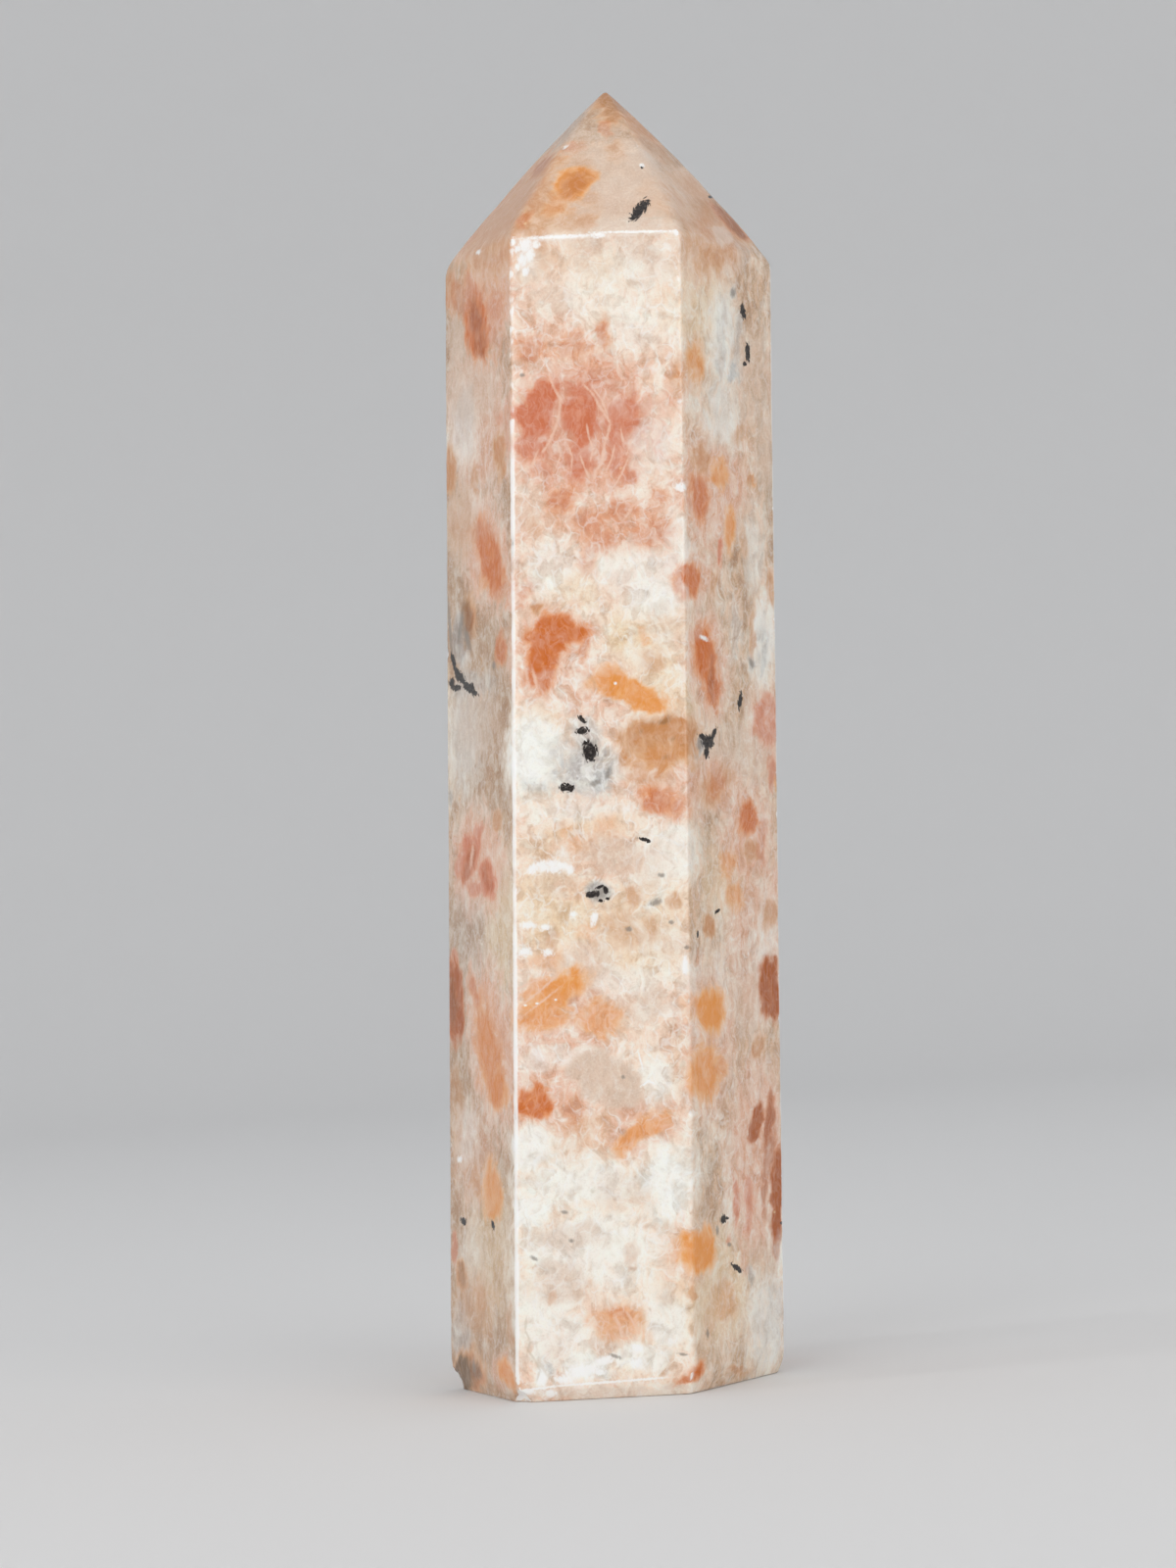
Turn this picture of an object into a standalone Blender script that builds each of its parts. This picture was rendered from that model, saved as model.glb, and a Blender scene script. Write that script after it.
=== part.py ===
"""A polished sunstone tower: a six-sided column of feldspar, cut to a point and standing on its flat base.

One solid, made the way a cutter makes it: a rough block is ground plane by plane, then the edges are polished.
Metres, +Z up. The origin is the middle of the base, and the widest polished face looks along -Y.
"""

import math
from typing import NamedTuple

import bmesh
import bpy
from mathutils import Matrix, Vector

MM = 0.001
SAME_POINT = 0.01 * MM  # cuts that meet closer than this share one corner, as all six do at the tip

# Driving dimensions
BODY_HEIGHT = 85.2 * MM  # from the base up to the shoulder, where the point begins
BASE_WIDTH = 25.6 * MM  # across two opposite corners, at the base
SHOULDER_WIDTH = 25.4 * MM  # the same at the shoulder: the column tapers a little
SIDES = 6

# The base was cut out of square, so the column leans towards +X and, less, towards -Y
LEAN_ASIDE = math.radians(3.0)
LEAN_FORWARD = math.radians(1.4)

# The point: each of its faces is lapped at three slopes, steepest at the shoulder, so it is slightly convex.
# Each row is the slope in degrees and the share of the way in from the side to the axis.
LAPS = ((58.5, 0.24), (52.5, 0.36), (46.8, 0.40))

# The bevel round the foot, as ground: taller than it is deep
FOOT_BEVEL_HEIGHT = 1.1 * MM
FOOT_BEVEL_DEPTH = 0.42 * MM

# The polish rounds every edge a little
EDGE_POLISH = 0.28 * MM
EDGE_STEPS = 2
POLISHED_ABOVE = math.radians(20)  # edges that turn less than this are left alone

FRONT_FACE_DEGREES = -90.0


class HandCut(NamedTuple):
    """How one hand-cut face differs from a true hexagon's. Turns and slopes are in degrees."""

    side_turn: float
    ground_in: float  # at the foot
    proud: float  # how much further out than that it stands at the shoulder, apart from the taper
    tip_turn: float  # turn of its face on the point
    lower: float  # how much lower its shoulder lies
    taller_bevel: float
    bevel_slope: float  # how much the top of its foot bevel climbs to the right, seen from outside


# From the front face on, counter-clockwise seen from above
HAND_CUTS = (
    HandCut(0.8, 0.10 * MM, 0.30 * MM, -0.4, -0.60 * MM, -0.15 * MM, 1.8),
    HandCut(0.4, 0.00 * MM, 0.00 * MM, 0.8, -0.35 * MM, 0.10 * MM, -1.0),
    HandCut(-0.6, -0.10 * MM, 0.00 * MM, 0.5, -0.10 * MM, -0.10 * MM, 0.0),
    HandCut(0.5, 0.15 * MM, -0.10 * MM, -0.7, -0.15 * MM, 0.10 * MM, 1.5),
    HandCut(0.3, -0.15 * MM, 0.00 * MM, 0.9, -0.35 * MM, 0.60 * MM, 0.0),
    HandCut(-0.8, 0.05 * MM, 0.00 * MM, -0.4, -0.50 * MM, 0.90 * MM, -4.0),
)

# Small flakes knocked off at the foot: azimuth in degrees, height, radius of the scar's curve and how deep it bites
FLAKES = (
    (-163.0, 0.1 * MM, 1.7 * MM, 0.55 * MM),
    (-119.0, 0.3 * MM, 1.5 * MM, 0.50 * MM),
    (61.5, 0.2 * MM, 1.4 * MM, 0.40 * MM),
)
FLAKE_SUBDIVISIONS = 2

# The rough block, before it is cut, and how far below the base it starts
ROUGH_WIDTH = 2 * BASE_WIDTH
ROUGH_HEIGHT = 1.5 * (BODY_HEIGHT + BASE_WIDTH)
ROUGH_BELOW = BASE_WIDTH

# Pale peach feldspar with a glassy polish
STONE_COLOUR = (0.72, 0.50, 0.36, 1.0)
STONE_ROUGHNESS = 0.14


def outward(azimuth, rise):
    """Unit vector that points away from the axis at an azimuth, tipped up by rise. Both are in radians."""
    flat = Vector((math.cos(azimuth), math.sin(azimuth), 0.0))
    return flat * math.cos(rise) + Vector((0.0, 0.0, math.sin(rise)))


def grind(stone, point, normal):
    """Takes away everything beyond a plane and closes the cut with one flat face."""
    cut = bmesh.ops.bisect_plane(
        stone,
        geom=stone.verts[:] + stone.edges[:] + stone.faces[:],
        plane_co=point,
        plane_no=normal,
        clear_outer=True,
    )
    rim = [g for g in cut["geom_cut"] if isinstance(g, bmesh.types.BMEdge)]
    if rim:
        bmesh.ops.edgeloop_fill(stone, edges=rim)


def blank():
    """The rough piece before it is cut: a plain block, longer and wider than the tower."""
    stone = bmesh.new()
    bmesh.ops.create_cube(stone, size=1.0)
    bmesh.ops.scale(stone, vec=(ROUGH_WIDTH, ROUGH_WIDTH, ROUGH_HEIGHT), verts=stone.verts)
    bmesh.ops.translate(stone, vec=(0, 0, ROUGH_HEIGHT / 2 - ROUGH_BELOW), verts=stone.verts)
    return stone


def side_distance(width):
    """From the axis to the middle of a side, for a hexagon of that width across its corners."""
    return width / 2 * math.cos(math.pi / SIDES)


def cut_sides_and_point(stone):
    """Grinds the six sides and, above each, the three laps of its face on the point."""
    foot, shoulder = side_distance(BASE_WIDTH), side_distance(SHOULDER_WIDTH)
    lean = Matrix.Rotation(LEAN_ASIDE, 3, "Y") @ Matrix.Rotation(LEAN_FORWARD, 3, "X")
    for k, cut in enumerate(HAND_CUTS):
        azimuth = math.radians(FRONT_FACE_DEGREES + k * 360 / SIDES)
        taper = math.atan((foot - shoulder - cut.proud) / BODY_HEIGHT)
        side = outward(azimuth + math.radians(cut.side_turn), taper)
        grind(stone, lean @ (side * (foot - cut.ground_in)), lean @ side)
        radius, height = shoulder, BODY_HEIGHT
        for lap, (slope, share) in enumerate(LAPS):
            turn = math.radians(cut.tip_turn) if lap == 0 else 0.0
            drop = cut.lower if lap == 0 else 0.0
            start = outward(azimuth, 0) * radius + Vector((0, 0, height - drop))
            face = outward(azimuth + turn, math.radians(90 - slope))
            grind(stone, lean @ start, lean @ face)
            radius -= shoulder * share
            height += shoulder * share * math.tan(math.radians(slope))


def cut_foot(stone):
    """Cuts the flat base, level with the ground, and the bevel round it."""
    grind(stone, Vector((0, 0, 0)), Vector((0, 0, -1)))
    foot = side_distance(BASE_WIDTH)
    for k, cut in enumerate(HAND_CUTS):
        azimuth = math.radians(FRONT_FACE_DEGREES + k * 360 / SIDES + cut.side_turn)
        level = outward(azimuth, 0)
        height = FOOT_BEVEL_HEIGHT + cut.taller_bevel
        steep = math.atan(FOOT_BEVEL_DEPTH / height)
        slope = Matrix.Rotation(math.radians(cut.bevel_slope), 3, level)
        edge = level * (foot - cut.ground_in) + Vector((0, 0, height))
        grind(stone, edge, slope @ outward(azimuth, -steep))


def stone_material():
    """The stone's plain finish."""
    material = bpy.data.materials.new("sunstone")
    material.use_nodes = True
    shader = material.node_tree.nodes["Principled BSDF"]
    shader.inputs["Base Color"].default_value = STONE_COLOUR
    shader.inputs["Roughness"].default_value = STONE_ROUGHNESS
    shader.inputs["Metallic"].default_value = 0.0
    material.diffuse_color = STONE_COLOUR
    return material


def add_polish(tower):
    """Rounds the edges that a finger would feel."""
    bevel = tower.modifiers.new("polished edges", "BEVEL")
    bevel.limit_method = "ANGLE"
    bevel.angle_limit = POLISHED_ABOVE
    bevel.width = EDGE_POLISH
    bevel.segments = EDGE_STEPS
    bevel.use_clamp_overlap = True


def add_flakes(tower):
    """Takes a small shell-shaped flake out of the foot at each place in FLAKES."""
    for number, (azimuth, height, radius, bite) in enumerate(FLAKES):
        direction = outward(math.radians(azimuth), 0)
        hit, spot, _, _ = tower.ray_cast(direction * BASE_WIDTH + Vector((0, 0, height)), -direction)
        if not hit:
            raise RuntimeError(f"flake {number} misses the stone")
        ball = bmesh.new()
        bmesh.ops.create_icosphere(ball, subdivisions=FLAKE_SUBDIVISIONS, radius=radius)
        mesh = bpy.data.meshes.new(f"flake_cutter_{number}")
        ball.to_mesh(mesh)
        ball.free()
        cutter = bpy.data.objects.new(f"flake_cutter_{number}", mesh)
        bpy.context.scene.collection.objects.link(cutter)
        away = (direction - Vector((0, 0, 1))).normalized()
        cutter.location = spot + away * (radius - bite)
        cutter.rotation_euler = away.to_track_quat("Z", "Y").to_euler()
        cutter.hide_render = True
        cutter.display_type = "WIRE"
        flake = tower.modifiers.new(f"flake {number}", "BOOLEAN")
        flake.operation = "DIFFERENCE"
        flake.solver = "EXACT"
        flake.object = cutter


def main():
    for leftover in list(bpy.data.objects):
        bpy.data.objects.remove(leftover)
    stone = blank()
    cut_sides_and_point(stone)
    cut_foot(stone)
    bmesh.ops.remove_doubles(stone, verts=stone.verts, dist=SAME_POINT)
    bmesh.ops.recalc_face_normals(stone, faces=stone.faces)
    mesh = bpy.data.meshes.new("sunstone_tower")
    stone.to_mesh(mesh)
    stone.free()
    mesh.materials.append(stone_material())
    mesh.shade_smooth()
    mesh.set_sharp_from_angle(angle=POLISHED_ABOVE)
    tower = bpy.data.objects.new("sunstone_tower", mesh)
    bpy.context.scene.collection.objects.link(tower)
    bpy.context.view_layer.update()
    add_polish(tower)
    add_flakes(tower)


main()
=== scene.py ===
# %% [markdown]
# # A polished sunstone tower
#
# A sunstone tower is a column of peach feldspar that was sawn and ground to six sides, cut to a point and
# polished. The frame below gives its plain solid. This lesson turns that solid into a stone: edges that the
# polishing wheel has rounded, small bruises, and the clouds, rust-coloured patches and dark specks that lie
# inside the feldspar.

# %% The frame
import math
from typing import NamedTuple

import bpy
import numpy as np
from mathutils import Matrix, Vector, noise


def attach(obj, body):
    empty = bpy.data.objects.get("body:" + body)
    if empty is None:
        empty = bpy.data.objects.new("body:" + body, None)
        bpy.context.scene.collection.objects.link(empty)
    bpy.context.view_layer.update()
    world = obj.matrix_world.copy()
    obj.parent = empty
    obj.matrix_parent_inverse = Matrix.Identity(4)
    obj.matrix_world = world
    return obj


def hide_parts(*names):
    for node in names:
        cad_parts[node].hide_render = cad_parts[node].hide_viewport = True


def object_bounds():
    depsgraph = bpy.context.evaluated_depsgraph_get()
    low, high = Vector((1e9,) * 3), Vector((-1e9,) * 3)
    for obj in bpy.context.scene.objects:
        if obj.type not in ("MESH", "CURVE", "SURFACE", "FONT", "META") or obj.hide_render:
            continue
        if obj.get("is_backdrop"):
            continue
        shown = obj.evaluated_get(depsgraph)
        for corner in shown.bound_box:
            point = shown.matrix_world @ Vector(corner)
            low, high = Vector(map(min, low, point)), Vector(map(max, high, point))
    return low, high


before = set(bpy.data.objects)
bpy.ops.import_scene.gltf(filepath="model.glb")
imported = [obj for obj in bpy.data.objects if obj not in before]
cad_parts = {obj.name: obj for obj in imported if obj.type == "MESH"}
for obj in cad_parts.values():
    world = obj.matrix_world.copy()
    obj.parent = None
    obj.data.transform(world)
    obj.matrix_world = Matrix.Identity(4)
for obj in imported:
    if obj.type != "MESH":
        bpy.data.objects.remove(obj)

MM = 0.001
cad_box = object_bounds()
print("CAD box", [[round(v / MM, 1) for v in corner] for corner in cad_box], "mm")

# %% [markdown]
# ## Upright coordinates
#
# The tower's base was cut out of square, so the column leans. Shapes and camera are easier to think about
# beside a column that stands straight, so both are worked out in upright coordinates and then leaned over.
# The axis runs from the middle of the base, which is the frame's origin, to the highest corner of the
# solid.

# %% Upright coordinates
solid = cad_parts["sunstone_tower"].data
solid_corners = np.empty(len(solid.vertices) * 3)
solid.vertices.foreach_get("co", solid_corners)
solid_corners = solid_corners.reshape(-1, 3)

axis = Vector(solid_corners[solid_corners[:, 2].argmax()]).normalized()
lean = np.array(Vector((0, 0, 1)).rotation_difference(axis).to_matrix())


def leaned(points):
    """Upright coordinates to the frame's."""
    return points @ lean.T


def upright(points):
    """The frame's coordinates to upright ones."""
    return points @ lean


def unit(vector):
    """A vector of length 1 in the same direction."""
    return vector / np.linalg.norm(vector)


print("The column leans", round(math.degrees(math.acos(axis.z)), 2), "degrees")

# %% [markdown]
# ## Camera
#
# The photograph was taken from close by, so the near edges spread and the far corners close in. Matching it
# takes the same distance and not only the same direction. The lens, distance and heights below were found
# by matching the corners of the solid to the corners in the picture.

# %% Camera
PHOTO_WIDTH = 1200
PHOTO_HEIGHT = 1600
FOCAL_PIXELS = 3175
SENSOR = 36.0  # millimetres, the picture's long side
CAMERA_TURN = math.radians(5)  # to the right of the widest face
CAMERA_DISTANCE = 238.7 * MM
EYE_HEIGHT = 35 * MM
AIM_HEIGHT = 45.5 * MM
AIM_ASIDE = 1.8 * MM
ROLL = math.radians(0.5)

back = np.array((math.sin(CAMERA_TURN), -math.cos(CAMERA_TURN), 0))
aside = np.array((math.cos(CAMERA_TURN), math.sin(CAMERA_TURN), 0))
up = np.array((0, 0, 1))
eye = back * CAMERA_DISTANCE + up * EYE_HEIGHT - aside * AIM_ASIDE
look = unit(up * AIM_HEIGHT - aside * AIM_ASIDE - eye)
roll = np.array(Matrix.Rotation(ROLL, 3, Vector(look)))
picture_right = roll @ aside
picture_up = roll @ np.cross(aside, look)

camera = bpy.data.objects.new("camera", bpy.data.cameras.new("camera"))
camera.data.sensor_width = SENSOR
camera.data.lens = SENSOR * FOCAL_PIXELS / PHOTO_HEIGHT
camera.data.clip_start = 10 * MM
turned = leaned(np.array((picture_right, picture_up, -look, eye)))
camera.matrix_world = Matrix(turned.T.tolist()).to_4x4()
bpy.context.scene.collection.objects.link(camera)
bpy.context.scene.camera = camera


def sight_line(x, y):
    """Direction from the eye through a pixel of the photograph, in upright coordinates."""
    return look * FOCAL_PIXELS + picture_right * (x - PHOTO_WIDTH / 2) - picture_up * (y - PHOTO_HEIGHT / 2)


print("Lens", round(camera.data.lens, 1), "mm")

# %% [markdown]
# ## Stage and light
#
# A polished stone shows the room in its faces, so the room matters as much as the lamps. A pale bowl with a
# flat floor, like a photographer's light tent, gives every side view the same soft ground. A broad soft
# lamp beside the camera lights the widest face and lays a faint veil of reflection on it. A narrow bright
# strip at the left is seen only by the rounded edges, which makes them shine as thin lines.

# %% Stage
FLOOR_RADIUS = 0.75
BOWL_CURVE = 0.35
BOWL_HEIGHT = 0.95
STAGE_COLOUR = (0.80, 0.80, 0.80, 1)
SKY_COLOUR = (0.97, 0.98, 1, 1)
SKY_STRENGTH = 0.7


def revolve(name, profile, steps):
    """A mesh turned about the upright Z axis from (radius, height) points; the first one is on the axis."""
    turns = [2 * math.pi * i / steps for i in range(steps)]
    points = [(0, 0, profile[0][1])]
    points += [(r * math.cos(a), r * math.sin(a), z) for r, z in profile[1:] for a in turns]
    faces = [(0, 1 + i, 1 + (i + 1) % steps) for i in range(steps)]
    for ring in range(len(profile) - 2):
        low, high = 1 + ring * steps, 1 + (ring + 1) * steps
        faces += [(low + i, high + i, high + (i + 1) % steps, low + (i + 1) % steps) for i in range(steps)]
    mesh = bpy.data.meshes.new(name)
    mesh.from_pydata(points, [], faces)
    mesh.shade_smooth()
    made = bpy.data.objects.new(name, mesh)
    bpy.context.scene.collection.objects.link(made)
    return made


quarter = [math.radians(a) for a in range(0, 91, 10)]
bowl = [(0, 0), (FLOOR_RADIUS * 0.2, 0)]
bowl += [(FLOOR_RADIUS + BOWL_CURVE * math.sin(a), BOWL_CURVE * (1 - math.cos(a))) for a in quarter]
bowl += [(FLOOR_RADIUS + BOWL_CURVE, BOWL_HEIGHT)]
stage = revolve("stage", bowl, 96)
stage_paint = bpy.data.materials.new("stage paint")
stage_paint.use_nodes = True
matt = stage_paint.node_tree.nodes["Principled BSDF"].inputs
matt["Base Color"].default_value = STAGE_COLOUR
matt["Roughness"].default_value = 0.8
matt["Specular IOR Level"].default_value = 0.2
stage.data.materials.append(stage_paint)
stage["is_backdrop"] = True

world = bpy.data.worlds.new("studio")
world.use_nodes = True
sky = world.node_tree.nodes["Background"].inputs
sky["Color"].default_value = SKY_COLOUR
sky["Strength"].default_value = SKY_STRENGTH
bpy.context.scene.world = world
bpy.context.scene.view_settings.view_transform = "Standard"
print("The bowl is", 2 * (FLOOR_RADIUS + BOWL_CURVE), "m wide")

# %% Lamps
LAMP_AIM = Vector((0, 0, 50 * MM))
WARM = (1, 0.985, 0.96)


def lamp(name, bearing, rise, distance, width, height, radiance, colour=(1, 1, 1)):
    """A soft rectangular lamp. Bearing is counted from +X towards +Y, radiance is how bright its face is."""
    light = bpy.data.lights.new(name, "AREA")
    light.shape = "RECTANGLE"
    light.size = width
    light.size_y = height
    light.energy = radiance * math.pi * width * height
    light.color = colour
    made = bpy.data.objects.new(name, light)
    a, e = math.radians(bearing), math.radians(rise)
    away = Vector((math.cos(a) * math.cos(e), math.sin(a) * math.cos(e), math.sin(e)))
    made.location = LAMP_AIM + away * distance
    made.rotation_mode = "QUATERNION"
    made.rotation_quaternion = away.to_track_quat("Z", "Y")
    made.visible_camera = False
    bpy.context.scene.collection.objects.link(made)
    return made


lamp("left key", -116, 6, 0.60, 0.36, 0.60, 1.6, WARM)
lamp("right key", -49, 6, 0.60, 0.38, 0.60, 1.9, WARM)
lamp("edge strip", -158, 4, 0.55, 0.05, 0.60, 7.0)
lamp("shoulder light", -88, 60, 0.60, 0.45, 0.25, 0.5)
print(len(bpy.data.lights), "lamps")

# %% [markdown]
# ## The faces that the cutter ground
#
# The solid is a set of flat faces with small polish strips between them. Each real face is found again by
# gathering the triangles that lie in one plane and keeping the large planes. A convex stone is then just a
# list of planes: a point is inside when it is behind all of them.

# %% Faces of the solid
SAME_TURN = math.cos(math.radians(0.6))
SAME_DEPTH = 0.02 * MM
SMALLEST_FACE = 6 * MM * MM
IN_LINE = math.cos(math.radians(8))


def planes_of(mesh):
    """Normals, depths and areas of the planes that a mesh's triangles lie in, in upright coordinates."""
    found = []
    for face in sorted(mesh.polygons, key=lambda f: -f.area):
        normal = upright(np.array(face.normal))
        depth = float(upright(np.array(face.center)) @ normal)
        for plane in found:
            if plane[0] @ normal > SAME_TURN and abs(plane[1] - depth) < SAME_DEPTH:
                plane[2] += face.area
                break
        else:
            found.append([normal, depth, face.area])
    return [plane for plane in found if plane[2] > SMALLEST_FACE]


class Side(NamedTuple):
    """The planes above one another on one side of the tower: bevel, side and the laps of the point."""

    bearing: float
    normals: np.ndarray
    depths: np.ndarray


planes = planes_of(solid)
floor_plane = min(planes, key=lambda p: p[0][2])
upright_faces = sorted(planes, key=lambda p: -p[2])[:6]
sides = []
for normal, *_ in sorted(upright_faces, key=lambda p: math.atan2(p[0][1], p[0][0])):
    flat = unit(normal * (1, 1, 0))
    column = [p for p in planes if p is not floor_plane and unit(p[0] * (1, 1, 0)) @ flat > IN_LINE]
    column.sort(key=lambda p: p[0][2])
    bearing = math.atan2(normal[1], normal[0])
    sides.append(Side(bearing, np.array([p[0] for p in column]), np.array([p[1] for p in column])))
    print("Side at", round(math.degrees(bearing), 1), "degrees has", len(column), "planes")

all_normals = np.concatenate([floor_plane[0][None]] + [s.normals for s in sides])
all_depths = np.concatenate([[floor_plane[1]]] + [s.depths for s in sides])

# %% [markdown]
# ## A fine net over the stone
#
# Chips and soft edges need many small faces where the edges are, and few on the flats. A remesh would
# spread them evenly and leave steps along the edges. So a net is laid: its columns run up the stone
# beside the corners, its rows follow the foot bevel and the shoulder, and both crowd together next to an
# edge.

# %% Corners of a level cut
SIDES = len(sides)
HALVINGS = 34


def reach(side, bearing, height):
    """How far from the axis one side's planes are, along a bearing at a height."""
    normals, depths = side.normals, side.depths
    outward = np.cos(bearing)[..., None] * normals[:, 0] + np.sin(bearing)[..., None] * normals[:, 1]
    room = depths - height[..., None] * normals[:, 2]
    return (room / np.maximum(outward, 0.05)).min(-1)


def corner(number, height):
    """The corner between side number - 1 and side number, at each of the heights."""
    one, other = sides[(number - 1) % SIDES], sides[number % SIDES]
    low = np.full(height.shape, one.bearing)
    high = np.full(height.shape, one.bearing + (other.bearing - one.bearing) % (2 * math.pi))
    for _ in range(HALVINGS):
        middle = (low + high) / 2
        before = reach(one, middle, height) < reach(other, middle, height)
        low = np.where(before, middle, low)
        high = np.where(before, high, middle)
    far = reach(one, low, height)
    return np.stack((far * np.cos(low), far * np.sin(low), height), -1)


def along_side(number, share, height):
    """A point on the sharp stone: a share of the way across one side, at a height."""
    return corner(number, height) * (1 - share)[..., None] + corner(number + 1, height) * share[..., None]


def crossing(number, share, upper, lower, low, high):
    """The height at which each column of a side passes from the lower plane to the upper one."""
    side = sides[number]
    low, high = np.full(share.shape, low), np.full(share.shape, high)
    for _ in range(HALVINGS):
        middle = (low + high) / 2
        points = along_side(number, share, middle)
        if lower is None:
            under = points @ floor_plane[0] > floor_plane[1]
        else:
            levels = points @ side.normals.T - side.depths
            under = levels[..., lower] > levels[..., upper]
        low = np.where(under, middle, low)
        high = np.where(under, high, middle)
    return (low + high) / 2


half_height = np.full(1, 50 * MM)
print("Corner 0 is", round(float(np.linalg.norm(corner(0, half_height)[0, :2])) / MM, 1), "mm from the axis")

# %% Rows and columns
FINE = 0.07 * MM  # between rows or columns at an edge
GROWTH = 1.4
COLUMN_STEPS = {0: 0.36 * MM, 1: 0.30 * MM, 2: 0.34 * MM}  # on the sides that the camera sees
HIDDEN_STEP = 0.52 * MM
ROW_STEP = 0.33 * MM
BASE_STEP = 1.0 * MM
BEVEL_STEP = 0.25 * MM
BEVEL_LENGTH = 1.2 * MM  # this and the next are rough lengths: they only set how many rows there are
LAP_LENGTHS = (4.5 * MM, 5.0 * MM, 4.5 * MM)
EDGE_ZONE = 0.5 * MM  # rows are twice as close within this distance of an upright edge


def graded(length, step, fine_start=True, fine_end=True):
    """Shares from 0 to 1 along a length, crowded at the ends that are edges."""
    near = np.cumsum(FINE * GROWTH ** np.arange(math.ceil(math.log(step / FINE, GROWTH))))
    near = np.concatenate(([0], near * min(1, 0.45 * length / near[-1])))
    start = near if fine_start else np.zeros(1)
    end = length - near[::-1] if fine_end else np.full(1, length)
    count = max(1, round((end[0] - start[-1]) / step))
    between = np.linspace(start[-1], end[0], count + 1)[1:-1]
    return np.concatenate((start, between, end)) / length


TOP_PLANE = 4
column_points = []  # one array of points for each column, from the middle of the base to near the apex
column_near_edge = []
tip_height = min(s.depths[TOP_PLANE] / s.normals[TOP_PLANE, 2] for s in sides)
shoulder = float(crossing(1, np.full(1, 0.5), 2, 1, 0.8 * tip_height, 0.95 * tip_height)[0])
front = next(k for k, s in enumerate(sides) if abs(math.degrees(s.bearing) + 90) < 20)
half_way_up = np.full(1, shoulder / 2)
side_width = float(np.linalg.norm(corner(1, half_way_up) - corner(0, half_way_up)))
row_shares = [
    graded(side_width, BASE_STEP, fine_start=False),
    graded(BEVEL_LENGTH, BEVEL_STEP),
    graded(shoulder, ROW_STEP),
    graded(LAP_LENGTHS[0], ROW_STEP, fine_end=False),
    graded(LAP_LENGTHS[1], ROW_STEP, fine_start=False, fine_end=False),
    graded(LAP_LENGTHS[2], ROW_STEP, fine_start=False),
]
print("Shoulder at", round(shoulder / MM, 1), "mm, point at", round(tip_height / MM, 1), "mm")
for number in range(SIDES):
    step = COLUMN_STEPS.get((number - front + 1) % SIDES, HIDDEN_STEP)
    share = graded(side_width, step)[:-1]
    rim = crossing(number, share, 0, None, -3 * MM, 3 * MM)
    breaks = [  # the lines between planes, each with the heights that it is looked for between
        rim,
        crossing(number, share, 1, 0, 0.3 * MM, 8 * MM),
        crossing(number, share, 2, 1, 0.8 * tip_height, 0.95 * tip_height),
        crossing(number, share, 3, 2, 0.85 * tip_height, 0.97 * tip_height),
        crossing(number, share, 4, 3, 0.87 * tip_height, 0.99 * tip_height),
        np.full(share.shape, tip_height),
    ]
    heights = [
        low[:, None] + (high - low)[:, None] * shares[None, 1:]
        for low, high, shares in zip(breaks, breaks[1:], row_shares[1:])
    ]
    heights = np.concatenate([rim[:, None]] + heights, 1)[:, :-1]
    shares = np.broadcast_to(share[:, None], heights.shape)
    points = along_side(number, shares, heights)
    base = points[:, :1] * row_shares[0][1:-1][None, :, None]
    column_points.extend(np.concatenate((base, points), 1))
    column_near_edge.extend(np.minimum(share, 1 - share) * side_width < EDGE_ZONE)
net = np.array(column_points)
near_edge = np.array(column_near_edge)
print("Net of", net.shape[0], "columns and", net.shape[1], "rows,", near_edge.sum(), "columns beside edges")

# %% [markdown]
# ## Rounded edges
#
# Polishing rounds an edge because the wheel can't tell where one face ends. A smooth maximum of the planes
# does the same: far from an edge one plane rules and the face stays flat, and near an edge two planes
# blend. Each net point slides along a line from the axis until it lies on that blended surface. One number
# sets how crisp the blend is, so the column can have crisp edges and the point the softer ones that hand
# lapping leaves.

# %% Joined net
rows = net.shape[1]
columns = net.shape[0]
doubled = np.full((columns, 2 * rows - 1, 3), np.nan)
doubled[:, ::2] = net
doubled[:, 1::2] = (net[:, 1:] + net[:, :-1]) / 2
present = np.zeros(doubled.shape[:2], bool)
present[:, ::2] = True
present[near_edge, 1::2] = True
index = np.full(present.shape, -1)
index[present] = np.arange(present.sum())
sharp_points = np.concatenate((doubled[present], [[0, 0, 0], [0, 0, tip_height]]))
base_pole, tip_pole = len(sharp_points) - 2, len(sharp_points) - 1

net_faces = []
for left in range(columns):
    right = (left + 1) % columns
    net_faces.append((base_pole, index[right, 0], index[left, 0]))
    net_faces.append((index[left, -1], index[right, -1], tip_pole))
    for row in range(0, 2 * rows - 2, 2):
        ring = [index[left, row], index[right, row]]
        if index[right, row + 1] >= 0 and index[left, row + 1] >= 0:
            net_faces.append((*ring, index[right, row + 1], index[left, row + 1]))
            ring = [index[left, row + 1], index[right, row + 1]]
        elif index[right, row + 1] >= 0:
            ring.append(index[right, row + 1])
        ring += [index[right, row + 2], index[left, row + 2]]
        if index[left, row + 1] >= 0 and index[right, row + 1] < 0:
            ring.append(index[left, row + 1])
        net_faces.append(tuple(ring))
print(len(sharp_points), "points and", len(net_faces), "faces")

# %% Blend the edges
ANCHOR_LOW = 12 * MM
ANCHOR_HIGH = 74 * MM
CRISP_ROWS = (  # height in millimetres, and how crisp the blend is: a fillet of 5.2 mm divided by this
    (0, 22), (1, 15), (shoulder / MM - 0.5, 12), (shoulder / MM + 1.5, 8), (shoulder / MM + 5, 4.5),
    (tip_height / MM - 3, 6), (tip_height / MM, 15),
)
ROUNDS = 7


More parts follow.
